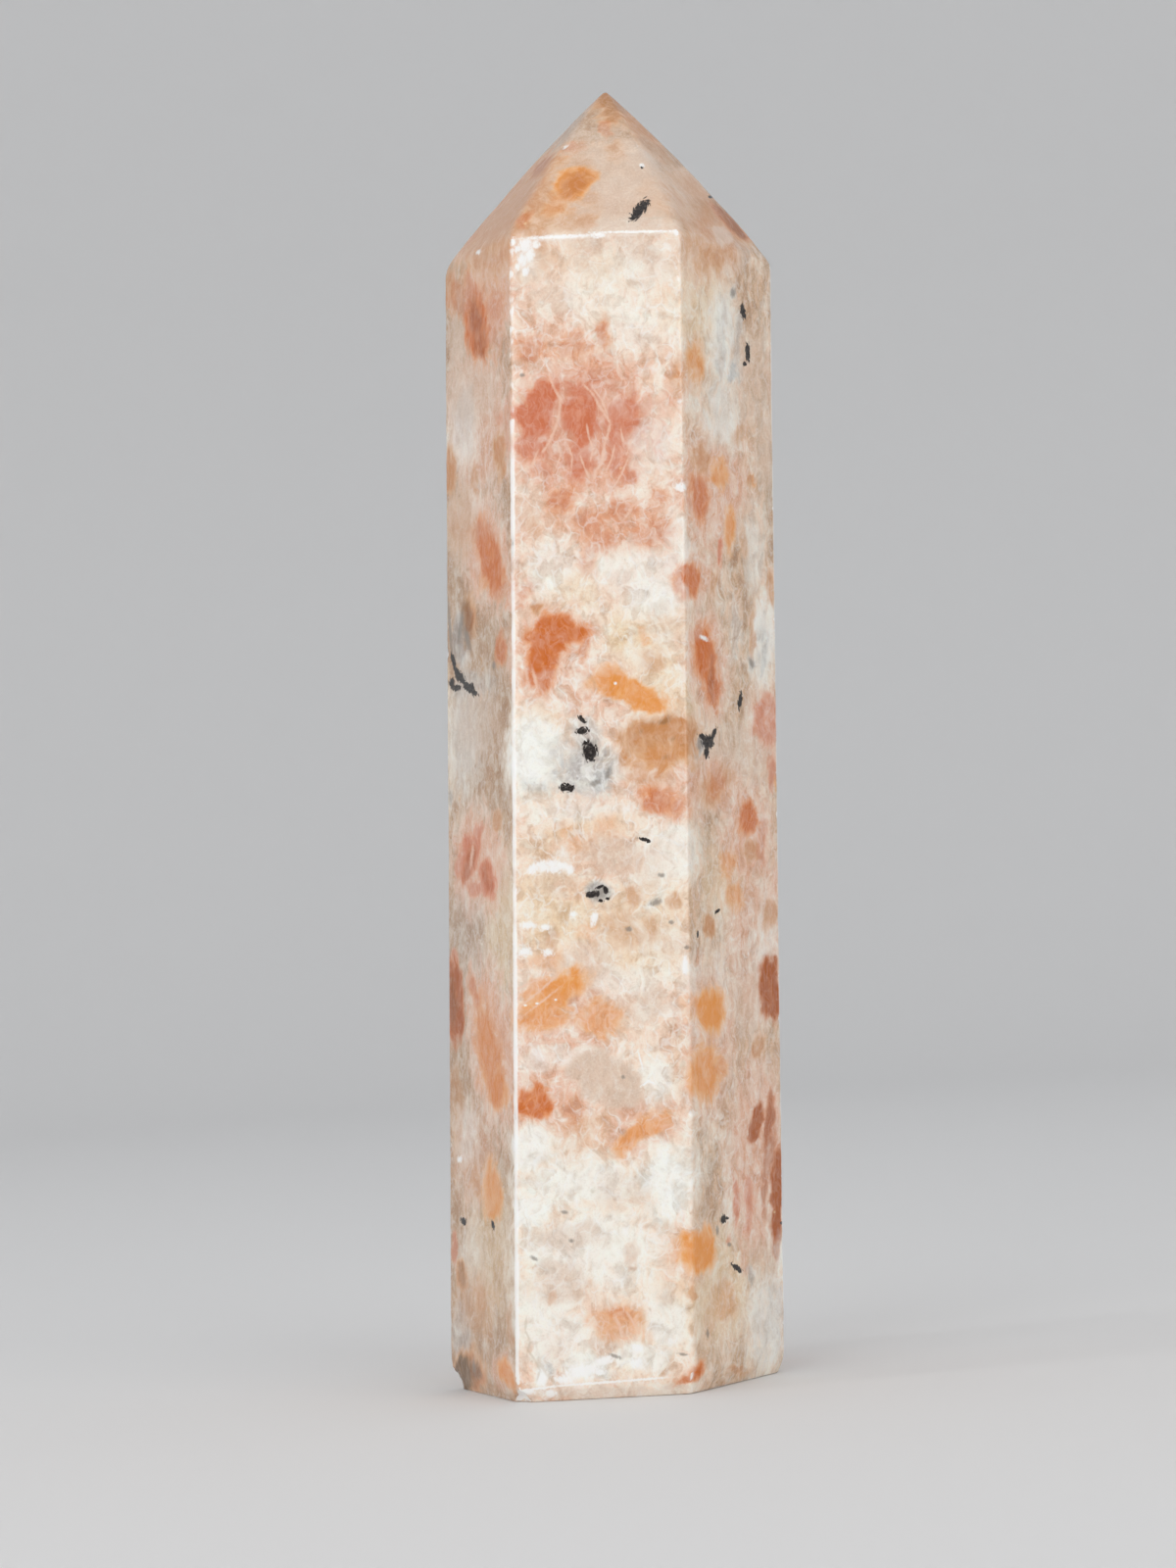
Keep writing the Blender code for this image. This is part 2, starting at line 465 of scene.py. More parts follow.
def blended(points, crisp):
    """Signed distance to the blended surface, and the mix of face normals there."""
    gaps = (points @ all_normals.T - all_depths) * crisp[:, None]
    largest = gaps.max(1, keepdims=True)
    weights = np.exp(gaps - largest)
    total = weights.sum(1, keepdims=True)
    distance = (largest + np.log(total))[:, 0] / crisp
    return distance, (weights / total) @ all_normals


heights = sharp_points[:, 2]
crisp = np.interp(heights / MM, *zip(*CRISP_ROWS)) / MM
anchor = np.zeros_like(sharp_points)
anchor[:, 2] = np.clip(heights, ANCHOR_LOW, ANCHOR_HIGH)
rays = sharp_points - anchor
slide = np.ones(len(rays))
for _ in range(ROUNDS):
    distance, mixed = blended(anchor + rays * slide[:, None], crisp)
    slide -= distance / (mixed * rays).sum(1)
points = anchor + rays * slide[:, None]
distance, mixed = blended(points, crisp)
normals = mixed / np.linalg.norm(mixed, axis=1, keepdims=True)
# 0 on a flat, 0.37 on an upright edge and more at a corner
edge_turn = np.sqrt(np.clip(1 - np.linalg.norm(mixed, axis=1), 0, 1))
print("Largest miss", f"{abs(distance).max() / MM:.6f}", "mm")
print("Sharpest edge turn", round(float(edge_turn.max()), 2))

# %% [markdown]
# ## Waves, bruises and flakes
#
# Flats that were lapped by hand are never quite flat, and reflections show it, so each point moves in or
# out by a few hundredths of a millimetre. Feldspar also bruises along its edges. A bruise is a shell-shaped
# bite: each point that lies inside a small ball moves inward until it lies on the ball.

# %% Waves
WAVE_SIZE = 11 * MM
WAVE_DEPTH = 0.022 * MM
EDGE_WOBBLE_SIZE = 1.6 * MM
EDGE_WOBBLE_DEPTH = 0.045 * MM
FLAT_BELOW = 0.5 * MM  # the base stays flat, so that the stone stands firmly


def noise_at(places, size, seed):
    """Smooth noise from -1 to 1 at each place, with lumps of a size."""
    shift = Vector((seed * 17.3, seed * 5.1, seed * 9.7))
    return np.array([noise.noise(Vector(p) + shift) for p in places / size])


waves = noise_at(points, WAVE_SIZE, 1) * WAVE_DEPTH
wobble = noise_at(points, EDGE_WOBBLE_SIZE, 2) * EDGE_WOBBLE_DEPTH * np.clip(edge_turn / 0.3, 0, 1)
waves[points[:, 2] < FLAT_BELOW] = 0
wobble[points[:, 2] < FLAT_BELOW] = 0
points = points + normals * (waves - abs(wobble))[:, None]
print("Waves up to", round(float(abs(waves).max() / MM), 3), "mm deep")

# %% Bites
random = np.random.default_rng(31)
SMALL_BITES = 260
BITE_RADIUS = (0.12 * MM, 0.55 * MM)
BITE_SHARE = (0.12, 0.34)  # how deep a bite goes, as a share of its radius
BITTEN_TURN = 0.17  # of edge_turn: only places that are sharper than this are bitten
BITTEN_ABOVE = 1.5 * MM
FOOT_FLAKES = (  # as in the solid: bearing in degrees, height, radius and depth
    (-163.0, 0.1 * MM, 1.7 * MM, 0.55 * MM),
    (-119.0, 0.3 * MM, 1.5 * MM, 0.50 * MM),
    (61.5, 0.2 * MM, 1.4 * MM, 0.40 * MM),
)

bite_depth = np.zeros(len(points))


def bite(centre, radius, away, ragged=0.12):
    """Moves the points inside a ball onto its inner side. The vector away leads straight out of the stone."""
    offset = points - centre
    close = np.flatnonzero((offset ** 2).sum(1) < (radius * (1 + ragged)) ** 2)
    if not len(close):
        return
    ripple = noise_at(points[close], radius * 0.6, 5)
    radii = radius * (1 + ragged * ripple)
    offset = offset[close]
    inward = offset @ away
    room = inward ** 2 - (offset ** 2).sum(1) + radii ** 2
    inside = ((offset ** 2).sum(1) < radii ** 2) & (room > 0)
    close, inward, room = close[inside], inward[inside], room[inside]
    depth = inward + np.sqrt(room)
    points[close] -= away * depth[:, None]
    bite_depth[close] = np.maximum(bite_depth[close], depth)


edge_points = np.flatnonzero((edge_turn > BITTEN_TURN) & (points[:, 2] > BITTEN_ABOVE))
for chosen in random.choice(edge_points, SMALL_BITES, replace=False):
    radius = BITE_RADIUS[0] + (BITE_RADIUS[1] - BITE_RADIUS[0]) * random.random() ** 3
    share = random.uniform(*BITE_SHARE)
    bite(points[chosen] + normals[chosen] * radius * (1 - share), radius, normals[chosen])
for bearing, height, radius, depth in FOOT_FLAKES:
    outward = np.array((math.cos(math.radians(bearing)), math.sin(math.radians(bearing)), 0))
    nearest = np.argmax(points @ outward - abs(points[:, 2] - height) * 4)
    away = unit(outward - up)
    bite(points[nearest] + away * (radius - depth), radius, away)
print("Points that a bite moved:", int((bite_depth > 0).sum()))

# %% [markdown]
# ## What lies inside the feldspar
#
# Sunstone gets its rust and gold patches from plates of iron oxide inside pale feldspar. They are bodies
# with a depth and not a print on the skin, so each patch here is an ellipsoid that the polished faces cut
# through. A patch near an edge then goes round the edge, as it does in a real stone. The places were read
# from the photograph, one by one. Each patch is laid through its pixel onto the face behind it, with
# a tilt counted against the clock.

# %% From a pixel to the stone
class Patch(NamedTuple):
    """A patch as the picture shows it: place and size in pixels, tilt in degrees, strength and softness."""

    x: float
    y: float
    width: float
    height: float
    tilt: float = 0
    strength: float = 1
    soft: float = 0.6


def face_seen(x, y):
    """The plane that a pixel of the photograph falls on."""
    ray = sight_line(x, y)
    facing = all_normals @ ray
    arrivals = np.where(facing < 0, (all_depths - all_normals @ eye) / facing, -np.inf)
    return int(arrivals.argmax())


def on_plane(x, y, plane):
    """Where the line of sight through a pixel meets one of the planes."""
    ray = sight_line(x, y)
    return eye + ray * (all_depths[plane] - all_normals[plane] @ eye) / (all_normals[plane] @ ray)


def body_of(patch):
    """Centre and three half axes of the ellipsoid that shows as a patch in the picture."""
    plane = face_seen(patch.x, patch.y)
    centre = on_plane(patch.x, patch.y, plane)
    turn = math.radians(patch.tilt)
    half_width, half_height = patch.width / 2, patch.height / 2
    side_x, side_y = patch.x + half_width * math.cos(turn), patch.y - half_width * math.sin(turn)
    top_x, top_y = patch.x - half_height * math.sin(turn), patch.y - half_height * math.cos(turn)
    across = on_plane(side_x, side_y, plane) - centre
    along = on_plane(top_x, top_y, plane) - centre
    deep = all_normals[plane] * min(np.linalg.norm(across), np.linalg.norm(along)) * 1.2
    return centre, np.array((across, along, deep))


print("The pixel in the middle falls on plane", face_seen(PHOTO_WIDTH / 2, PHOTO_HEIGHT / 2))

# %% Patches on the three sides and the point that the camera sees
PATCH_ROWS = {  # the numbers of a Patch, in its order
    "cream": (
        (590, 228, 110, 22, 0, 0.6), (559, 735, 34, 29, 0, 0.6), (600, 862, 140, 56, 0, 0.6, 1.0),
        (565, 925, 90, 90, 0, 0.8, 1.0), (650, 935, 100, 80, 0, 0.6, 1.0), (510, 940, 30, 180, 0, 0.7, 1.0),
        (745, 900, 50, 90, 0, 0.5, 1.0), (500, 1270, 50, 140, 0, 0.5, 1.0),
        (735, 1310, 64, 110, 0, 0.7, 1.0), (625, 280, 60, 50, 0, 0.5, 1.0), (640, 652, 50, 36, 0, 0.9, 0.8),
        (650, 980, 90, 40, 0, 0.6, 1.0), (716, 300, 50, 110, 0, 0.7, 1.0), (700, 690, 50, 90, 0, 0.6, 1.0),
        (706, 1330, 60, 70, 0, 0.7, 1.0), (585, 605, 60, 40, 0, 0.6, 1.0), (592, 1165, 90, 60, 0, 0.6, 1.0),
        (692, 1080, 20, 70, 0, 0.6), (552, 405, 60, 30, 0, 0.3, 1.0), (660, 655, 90, 60, 0, 0.4, 1.0),
    ),
    "peach": (
        (592, 380, 110, 44, 0, 0.9, 1.0), (594, 470, 130, 80, 0, 0.9, 1.0),
        (632, 540, 120, 70, 5, 1.0, 0.9), (500, 300, 50, 90, 0, 0.9, 0.8), (528, 603, 34, 40, 0, 0.9),
        (562, 668, 90, 100, 0, 0.8, 0.9), (600, 700, 90, 60, -20, 0.7, 1.0),
        (682, 800, 90, 90, 0, 0.8, 1.0), (575, 1040, 120, 100, 10, 0.9, 1.0),
        (503, 1070, 50, 170, 8, 0.9, 0.9), (560, 1130, 90, 90, 0, 0.75, 0.9),
        (655, 1150, 90, 56, 30, 0.8, 1.0), (723, 1060, 50, 150, 0, 0.8, 0.9),
        (706, 1280, 60, 60, 0, 0.6, 1.0), (762, 850, 50, 110, 0, 0.9, 1.0),
        (488, 880, 54, 100, 0, 0.9, 1.0), (775, 1180, 60, 190, 0, 0.9, 0.9),
        (634, 1348, 70, 60, 0, 0.5, 1.0), (725, 500, 70, 110, 0, 0.9, 1.0),
        (487, 430, 60, 160, 0, 0.8, 1.0), (580, 205, 110, 60, 0, 0.45, 1.0),
        (770, 960, 50, 160, 0, 0.8, 1.0), (484, 1180, 40, 100, 0, 0.5, 1.0),
        (560, 350, 90, 60, 0, 0.7, 1.0), (734, 246, 60, 60, 0, 0.5, 1.0), (700, 590, 60, 60, 0, 0.8, 1.0),
        (690, 385, 30, 60, 0, 0.7), (495, 560, 50, 120, 10, 0.9, 0.9), (722, 680, 40, 110, 5, 0.9, 0.9),
        (535, 560, 34, 80, 0, 0.4, 1.0), (492, 250, 70, 40, 0, 0.9, 1.0), (556, 1088, 50, 40, 0, 0.8, 1.0),
        (655, 790, 60, 50, 0, 0.6, 1.0), (642, 600, 70, 40, 0, 0.6, 1.0), (655, 355, 80, 50, 0, 0.45, 1.0),
        (552, 1086, 60, 50, 0, 0.8, 1.0), (620, 872, 100, 50, 0, 0.6, 1.0), (530, 560, 30, 40, 0, 0.4, 1.0),
        (583, 912, 50, 30, 0, 0.4), (784, 740, 40, 90, 0, 0.8, 1.0), (735, 800, 50, 60, 0, 0.8, 1.0),
        (608, 1160, 60, 50, 0, 0.5, 1.0), (580, 545, 110, 60, 0, 0.4, 1.0),
        (660, 300, 90, 40, 0, 0.25, 1.0), (514, 1400, 24, 50, 0, 0.6),
    ),
    "milk": (
        (543, 770, 62, 86, 0, 1.0, 0.9), (625, 1419, 190, 14, 2, 0.5, 0.8),
        # The milk patch at (539, 262) is painted reflection: the sheen at the top left of the widest face
        (570, 1370, 80, 60, 0, 0.7, 1.0), (539, 262, 30, 48, -8, 0.8, 1.0), (566, 244, 80, 12, 3, 0.7, 1.0),
        (650, 229, 130, 20, 3, 0.6, 1.0), (660, 270, 80, 60, 0, 0.5, 1.0), (650, 585, 110, 50, 0, 0.6, 1.0),
        (562, 580, 60, 60, 0, 0.5, 1.0), (667, 610, 60, 44, 0, 0.8, 1.0), (684, 872, 70, 60, 0, 0.6, 1.0),
        (590, 826, 120, 26, 0, 0.5, 1.0), (668, 1098, 30, 60, 0, 0.7, 1.0),
        (682, 1205, 60, 80, 0, 1.0, 1.0), (540, 1230, 40, 50, 0, 1.0, 1.0),
        (595, 1206, 150, 50, 0, 0.8, 1.0), (600, 1275, 170, 90, 0, 0.75, 1.0),
        (598, 1396, 56, 28, 0, 1.0, 0.7), (680, 1345, 50, 80, 0, 0.8, 1.0),
        (560, 1340, 70, 90, 0, 0.7, 1.0), (474, 434, 30, 80, 0, 0.55, 1.0),
        (780, 655, 26, 100, 0, 0.8, 1.0), (470, 760, 40, 110, 0, 0.5, 1.0),
        (782, 1350, 40, 110, 0, 0.7, 1.0), (554, 1407, 16, 26, 0, 0.9, 0.5),
        (735, 420, 40, 60, 0, 0.6, 1.0), (738, 340, 30, 100, 0, 0.7, 1.0), (476, 520, 40, 30, 0, 0.4, 1.0),
        (690, 200, 26, 50, 43, 0.5, 1.0), (655, 158, 40, 40, 0, 0.4, 1.0), (640, 190, 50, 30, 0, 0.3, 1.0),
        (770, 560, 24, 90, 0, 0.5, 1.0), (735, 1000, 12, 120, 0, 0.3, 1.0),
        (475, 1160, 26, 60, 0, 0.4, 1.0), (480, 1290, 30, 80, 0, 0.3, 1.0), (668, 450, 44, 60, 0, 0.6, 1.0),
        (640, 1000, 110, 30, 0, 0.5, 1.0), (545, 1172, 54, 44, 0, 0.9, 0.8),
        (585, 1078, 60, 20, 0, 0.5, 0.8), (645, 330, 90, 50, 0, 0.4, 1.0), (738, 238, 20, 26, 10, 0.7),
        (690, 550, 26, 60, 0, 0.6), (655, 1385, 60, 26, 0, 0.8, 0.9), (610, 300, 120, 60, 0, 0.3, 1.0),
        (675, 1030, 50, 20, 0, 0.4), (545, 1085, 40, 24, 0, 0.5, 0.8), (706, 1010, 12, 60, 0, 0.4),
    ),
    "mist": (
        (618, 1100, 68, 50, -35, 0.9, 0.7), (632, 1114, 38, 36, 0, 0.9, 0.7),
        (598, 1088, 36, 26, 10, 0.9, 0.7), (665, 1024, 36, 34, 0, 0.6, 1.0),
        (570, 1388, 32, 28, 0, 0.3, 1.0), (534, 1390, 15, 20, 0, 0.5, 1.0),
        (622, 190, 140, 110, 0, 0.8, 1.0), (640, 1030, 60, 30, 0, 0.4, 1.0),
        (655, 890, 50, 40, 0, 0.4, 1.0), (625, 1420, 190, 14, 2, 0.5, 0.6), (620, 872, 50, 34, 0, 0.7, 1.0),
        (488, 740, 40, 60, 0, 0.5, 1.0), (560, 306, 40, 30, 0, 0.4, 0.9), (600, 985, 60, 40, 0, 0.5, 0.9),
        (585, 1262, 70, 30, 0, 0.5, 0.9), (640, 1215, 50, 40, 0, 0.4, 0.9),
        (575, 1310, 60, 40, 0, 0.5, 0.9), (620, 1360, 20, 60, 0, 0.4), (480, 400, 50, 60, 0, 0.6, 1.0),
        (465, 345, 18, 50, 0, 0.6), (470, 535, 26, 80, 0, 0.6, 1.0), (705, 185, 40, 20, -45, 0.9),
        (520, 200, 20, 90, -43, 0.9), (500, 240, 20, 60, -43, 0.7), (675, 640, 30, 40, 0, 0.3),
        (680, 960, 50, 40, 0, 0.4, 1.0), (770, 390, 40, 90, 0, 0.5, 1.0), (565, 900, 40, 30, 0, 0.4, 0.8),
        (783, 460, 24, 60, 0, 0.6), (540, 520, 30, 50, 0, 0.3), (760, 770, 70, 50, 0, 0.5, 1.0),
        (760, 1010, 30, 90, 0, 0.4, 1.0),
    ),
    "smoke": (
        (596, 779, 68, 58, -20, 0.85, 0.9), (613, 792, 30, 28, 0, 1.0, 0.9),
        (594, 744, 34, 28, 0, 0.7, 1.0), (611, 911, 26, 20, 0, 0.8, 0.9), (669, 920, 22, 18, 0, 0.4, 1.0),
        (738, 350, 10, 110, 0, 0.4, 1.0), (754, 345, 8, 90, 0, 0.4, 1.0), (747, 380, 9, 22, 0, 0.9, 0.8),
        (748, 299, 10, 14, 0, 0.6, 0.8), (470, 650, 16, 60, 0, 0.7), (475, 697, 26, 34, -20, 0.5),
        (714, 761, 14, 24, 0, 0.9), (767, 676, 9, 19, 0, 0.7), (459, 816, 9, 22, 0, 0.6),
        (478, 955, 34, 100, 0, 0.2, 1.0), (478, 750, 44, 110, 0, 0.18, 1.0), (485, 1397, 9, 24, 0, 0.7),
        (788, 1345, 24, 80, 0, 0.3, 1.0), (475, 425, 20, 60, 0, 0.2, 0.9), (764, 1299, 6, 24, 0, 0.6),
        (558, 1398, 11, 46, 38, 0.7), (752, 640, 10, 60, 0, 0.4, 1.0), (779, 660, 10, 70, 0, 0.5, 1.0),
        (490, 700, 30, 30, 0, 0.4, 1.0), (756, 250, 10, 50, 30, 0.4), (470, 1360, 20, 60, 0, 0.5),
        (545, 798, 30, 14, 0, 0.3),
    ),
    "tan": (
        (622, 104, 40, 40, 0, 0.9, 1.0), (650, 124, 18, 60, 43, 0.8, 1.0),
        (553, 168, 16, 50, -42, 1.0, 1.0), (512, 214, 50, 140, -43, 0.8, 1.0),
        (722, 218, 60, 110, 43, 0.5, 1.0), (526, 198, 20, 80, -43, 0.8, 1.0),
        (747, 228, 18, 70, 42, 1.0, 0.9), (720, 216, 18, 36, 0, 0.7, 1.0), (726, 262, 32, 28, 0, 0.7, 1.0),
        (600, 225, 24, 14, 0, 0.6, 1.0), (495, 262, 56, 30, 0, 0.6, 1.0), (616, 339, 20, 34, 0, 0.5, 1.0),
        (592, 166, 26, 18, 0, 0.3, 1.0), (459, 298, 12, 38, 0, 0.6, 1.0), (630, 158, 18, 14, 0, 0.3, 1.0),
        (604, 200, 20, 16, 0, 0.3, 1.0), (560, 222, 24, 12, 0, 0.4, 1.0), (700, 160, 14, 40, 43, 0.5, 1.0),
        (668, 150, 14, 50, 43, 0.4, 1.0), (480, 240, 16, 50, -43, 0.7, 1.0), (459, 480, 15, 52, 0, 0.9),
        (485, 485, 8, 34, 0, 0.5), (510, 462, 13, 50, 0, 0.9), (716, 465, 22, 26, 0, 0.7),
        (472, 530, 30, 60, 0, 0.4, 1.0), (484, 1330, 40, 60, 0, 0.4, 1.0), (688, 380, 17, 50, 0, 0.5),
        (709, 374, 22, 46, 0, 0.8, 0.9), (627, 146, 24, 12, 0, 0.5), (480, 630, 15, 46, 0, 1.0, 0.9),
        (665, 676, 26, 24, -20, 0.55, 1.0), (548, 538, 18, 20, 0, 0.4, 1.0),
        (674, 760, 90, 58, 4, 0.95, 0.7), (676, 745, 80, 16, 4, 1.0, 0.6), (696, 766, 44, 24, 8, 1.0, 0.8),
        (658, 757, 50, 8, 2, 1.0, 0.8), (704, 750, 20, 26, 0, 0.9, 0.9), (665, 792, 44, 28, 0, 0.5, 1.0),
        (724, 808, 20, 34, 0, 0.7, 1.0), (744, 798, 15, 28, 0, 0.5, 1.0), (646, 912, 20, 22, 0, 0.7),
        (690, 922, 14, 20, 0, 0.6), (640, 945, 50, 36, 0, 0.5, 1.0), (661, 948, 26, 30, 0, 0.5, 0.8),
        (507, 838, 11, 20, 0, 0.7), (587, 1126, 20, 20, 0, 0.35), (592, 1150, 30, 30, 0, 0.35, 1.0),
        (583, 1174, 34, 30, 0, 0.2, 1.0), (673, 1140, 34, 14, 20, 0.3, 1.0), (486, 1205, 9, 26, 0, 0.5),
        (472, 1304, 12, 36, 5, 0.9), (491, 1326, 13, 34, 0, 0.7), (707, 1322, 12, 15, 0, 0.7),
        (735, 1325, 26, 44, 0, 0.4), (724, 1346, 12, 42, 0, 0.4), (602, 1313, 8, 16, 0, 0.3),
        (639, 1244, 8, 12, 0, 0.5), (655, 1352, 8, 36, 5, 0.6), (645, 1280, 14, 22, 0, 0.4),
        (520, 1350, 8, 46, 0, 0.4), (753, 1400, 22, 12, 0, 0.6), (789, 600, 9, 40, 0, 0.6),
        (479, 1402, 30, 42, 15, 0.95, 0.8), (725, 945, 12, 26, 0, 0.8), (765, 490, 10, 20, 0, 0.8),
        (730, 600, 9, 30, 0, 0.6), (768, 870, 20, 24, 0, 0.7), (784, 930, 12, 34, 0, 0.7),
        (776, 1068, 11, 26, 0, 0.7), (768, 650, 7, 50, 0, 0.6), (759, 555, 6, 40, 0, 0.5),
        (561, 958, 12, 24, 0, 0.5), (617, 1145, 12, 12, 0, 0.4), (540, 1375, 10, 10, 0, 0.3),
        (545, 625, 20, 12, 20, 0.8), (571, 625, 24, 14, -20, 0.6), (500, 1340, 8, 60, 0, 0.3),
        (465, 1130, 14, 80, 0, 0.4), (566, 1320, 10, 12, 0, 0.5), (757, 440, 30, 20, 0, 0.4),
    ),
    "red": (
        (596, 434, 160, 116, 0, 0.5, 0.9), (551, 420, 42, 72, -24, 1.0, 0.6),
        (593, 424, 44, 76, 0, 1.0, 0.6), (591, 464, 30, 62, -4, 0.9, 0.8), (634, 428, 44, 62, 0, 0.9, 0.8),
        (628, 462, 34, 54, 8, 0.8, 0.9), (641, 482, 26, 20, 0, 0.7, 1.0), (662, 414, 18, 26, 0, 0.6, 1.0),
        (541, 456, 42, 30, 0, 0.85, 0.8), (548, 478, 26, 24, 0, 0.5, 1.0), (600, 388, 70, 24, 0, 0.45, 1.0),
        (735, 560, 6, 34, 0, 0.9), (784, 736, 26, 50, 0, 0.7), (789, 790, 9, 40, 0, 0.7),
        (611, 400, 14, 30, 30, 0.6), (478, 876, 18, 54, -14, 0.9), (498, 896, 18, 40, 12, 0.95),
        (487, 850, 9, 26, -12, 0.7), (469, 882, 9, 40, -10, 0.6), (490, 908, 30, 16, 0, 0.6),
        (778, 860, 10, 60, 0, 0.4), (744, 1268, 6, 12, 0, 0.6), (750, 1226, 6, 50, 0, 0.7),
        (763, 1230, 8, 60, 0, 0.6), (464, 1275, 6, 44, 0, 0.6), (760, 1290, 8, 30, 0, 0.3),
        (463, 985, 12, 30, 0, 0.7),
    ),
    "gold": (
        (586, 186, 43, 30, 28, 1.0, 0.5), (572, 208, 36, 22, 20, 0.4, 1.0), (710, 374, 20, 46, 0, 0.7, 0.9),
        (694, 376, 20, 34, 0, 0.25, 1.0), (745, 540, 13, 46, 0, 0.8, 0.8), (768, 487, 6, 14, 0, 0.5),
        (622, 694, 42, 28, -28, 0.8, 0.9), (651, 708, 78, 28, -25, 1.0, 0.5),
        (676, 774, 60, 30, 0, 0.25, 1.0), (655, 652, 12, 20, 0, 0.5, 1.0), (744, 885, 17, 24, 0, 0.6, 1.0),
        (750, 914, 17, 26, 0, 0.6, 1.0), (577, 843, 20, 26, 0, 0.4, 1.0), (591, 861, 20, 16, 0, 0.3, 1.0),
        (618, 842, 28, 26, 0, 0.3, 1.0), (565, 1014, 72, 34, 32, 0.9, 0.7),
        (578, 1003, 32, 30, 20, 1.0, 0.7), (545, 1006, 40, 9, 38, 0.6), (556, 1038, 66, 30, 8, 0.75, 0.9),
        (614, 1040, 46, 34, -12, 0.65, 0.9), (724, 1030, 30, 52, 0, 1.0, 0.7),
        (709, 1026, 14, 30, 0, 0.5, 1.0), (719, 1095, 28, 60, 0, 0.85, 0.8),
        (735, 1093, 14, 20, 0, 0.6, 1.0), (502, 1216, 20, 60, 0, 0.8, 0.7),
        (716, 1275, 28, 46, 0, 1.0, 0.7), (690, 1277, 30, 24, 0, 0.4, 1.0),
        (618, 1352, 26, 34, 20, 0.5, 1.0), (636, 1342, 40, 30, 0, 0.6, 0.9),
        (652, 1352, 14, 34, 20, 0.5, 1.0), (632, 1362, 30, 16, 0, 0.4, 1.0),
        (499, 1075, 20, 100, 8, 0.7, 1.0), (509, 1114, 20, 40, 5, 0.9, 0.9),
        (503, 574, 12, 60, 14, 0.7, 1.0), (497, 596, 16, 20, 0, 0.4, 1.0), (690, 1318, 40, 30, 0, 0.2, 1.0),
        (742, 1330, 20, 40, 0, 0.25, 1.0), (557, 978, 34, 18, 0, 0.4, 1.0), (600, 955, 30, 20, 0, 0.3, 1.0),
        (734, 484, 16, 34, 0, 0.8, 0.9), (517, 1401, 14, 34, 10, 0.8, 0.8),
        (655, 1157, 66, 17, 42, 0.8, 0.8), (668, 1146, 34, 22, 30, 0.3, 1.0),
    ),
    "ember": (
        (487, 332, 28, 78, 8, 1.0, 0.8), (477, 304, 40, 40, 0, 0.5, 1.0), (506, 325, 20, 70, 0, 0.4, 1.0),
        (587, 186, 32, 18, 28, 0.4, 1.0), (616, 340, 18, 30, 0, 0.7, 0.9), (616, 130, 12, 14, 0, 0.35, 1.0),
        (585, 148, 20, 14, 0, 0.35, 1.0), (534, 226, 18, 16, 0, 0.45, 1.0), (541, 355, 30, 26, 0, 0.5, 1.0),
        (587, 354, 40, 28, 5, 0.55, 1.0), (606, 367, 30, 13, -20, 0.4, 1.0),
        (572, 511, 28, 32, -30, 0.7, 0.9), (672, 506, 18, 18, 0, 0.5, 1.0), (630, 519, 36, 30, 0, 0.5, 1.0),
        (600, 532, 44, 28, 0, 0.4, 1.0), (608, 556, 40, 30, 20, 0.5, 1.0),
        (666, 546, 44, 38, 10, 0.45, 1.0), (598, 576, 20, 28, 0, 0.4, 1.0), (705, 594, 18, 38, 0, 0.9, 0.6),
        (693, 597, 24, 32, 0, 0.6, 0.8), (501, 570, 22, 80, 14, 0.9, 0.8), (494, 545, 30, 30, 0, 0.4, 1.0),
        (531, 603, 22, 30, 0, 0.4, 1.0), (511, 604, 18, 24, 0, 0.4, 1.0), (568, 648, 60, 42, 22, 1.0, 0.6),
        (556, 668, 34, 54, -8, 1.0, 0.7), (558, 692, 28, 32, -10, 0.8, 0.9), (541, 692, 7, 26, 12, 0.6),
        (532, 694, 6, 24, 10, 0.4), (597, 663, 12, 20, 0, 0.5, 0.9), (510, 661, 14, 40, 0, 0.75, 0.8),
        (720, 668, 22, 60, 5, 1.0, 0.8), (727, 700, 16, 48, 3, 0.9, 0.8), (713, 650, 14, 30, 0, 0.5, 1.0),
        (672, 816, 38, 34, -8, 0.75, 0.9), (666, 811, 22, 22, 0, 0.9, 0.9), (696, 827, 26, 26, 0, 0.5, 1.0),
        (763, 838, 22, 38, -15, 0.9, 0.8), (731, 794, 18, 34, 0, 0.4, 1.0), (714, 504, 20, 48, 0, 0.8, 0.9),
        (706, 508, 12, 22, 0, 0.5, 1.0), (547, 1125, 34, 38, 5, 1.0, 0.6), (561, 1129, 14, 14, 0, 1.0, 0.6),
        (588, 1134, 30, 38, 10, 0.3, 1.0), (484, 1012, 10, 46, 12, 0.6, 0.9),
        (499, 1066, 26, 100, 8, 0.4, 1.0), (508, 1112, 22, 44, 5, 0.5, 1.0),
        (712, 1399, 15, 22, 0, 1.0, 0.8), (701, 1404, 24, 9, 15, 0.9, 0.9), (691, 1410, 14, 7, 5, 0.7, 1.0),
        (704, 1396, 10, 12, 20, 0.6, 1.0), (519, 1404, 14, 30, 15, 0.2, 1.0),
        (632, 1336, 26, 16, 0, 0.35, 1.0), (672, 1166, 14, 10, 0, 0.4, 1.0),
    ),
    "brick": (
        (485, 324, 14, 44, 8, 0.9, 0.9), (492, 352, 13, 32, 0, 0.8, 1.0), (463, 1020, 22, 90, 4, 1.0, 0.5),
        (786, 1011, 25, 64, 5, 1.0, 0.4), (771, 1144, 12, 52, -16, 0.95, 0.5),
        (785, 1142, 9, 60, -5, 0.85, 0.5), (784, 1178, 12, 60, -8, 0.7, 0.8),
        (793, 1220, 14, 110, 0, 1.0, 0.6), (779, 1210, 6, 80, 0, 0.6, 0.8), (480, 1405, 22, 30, 15, 0.5),
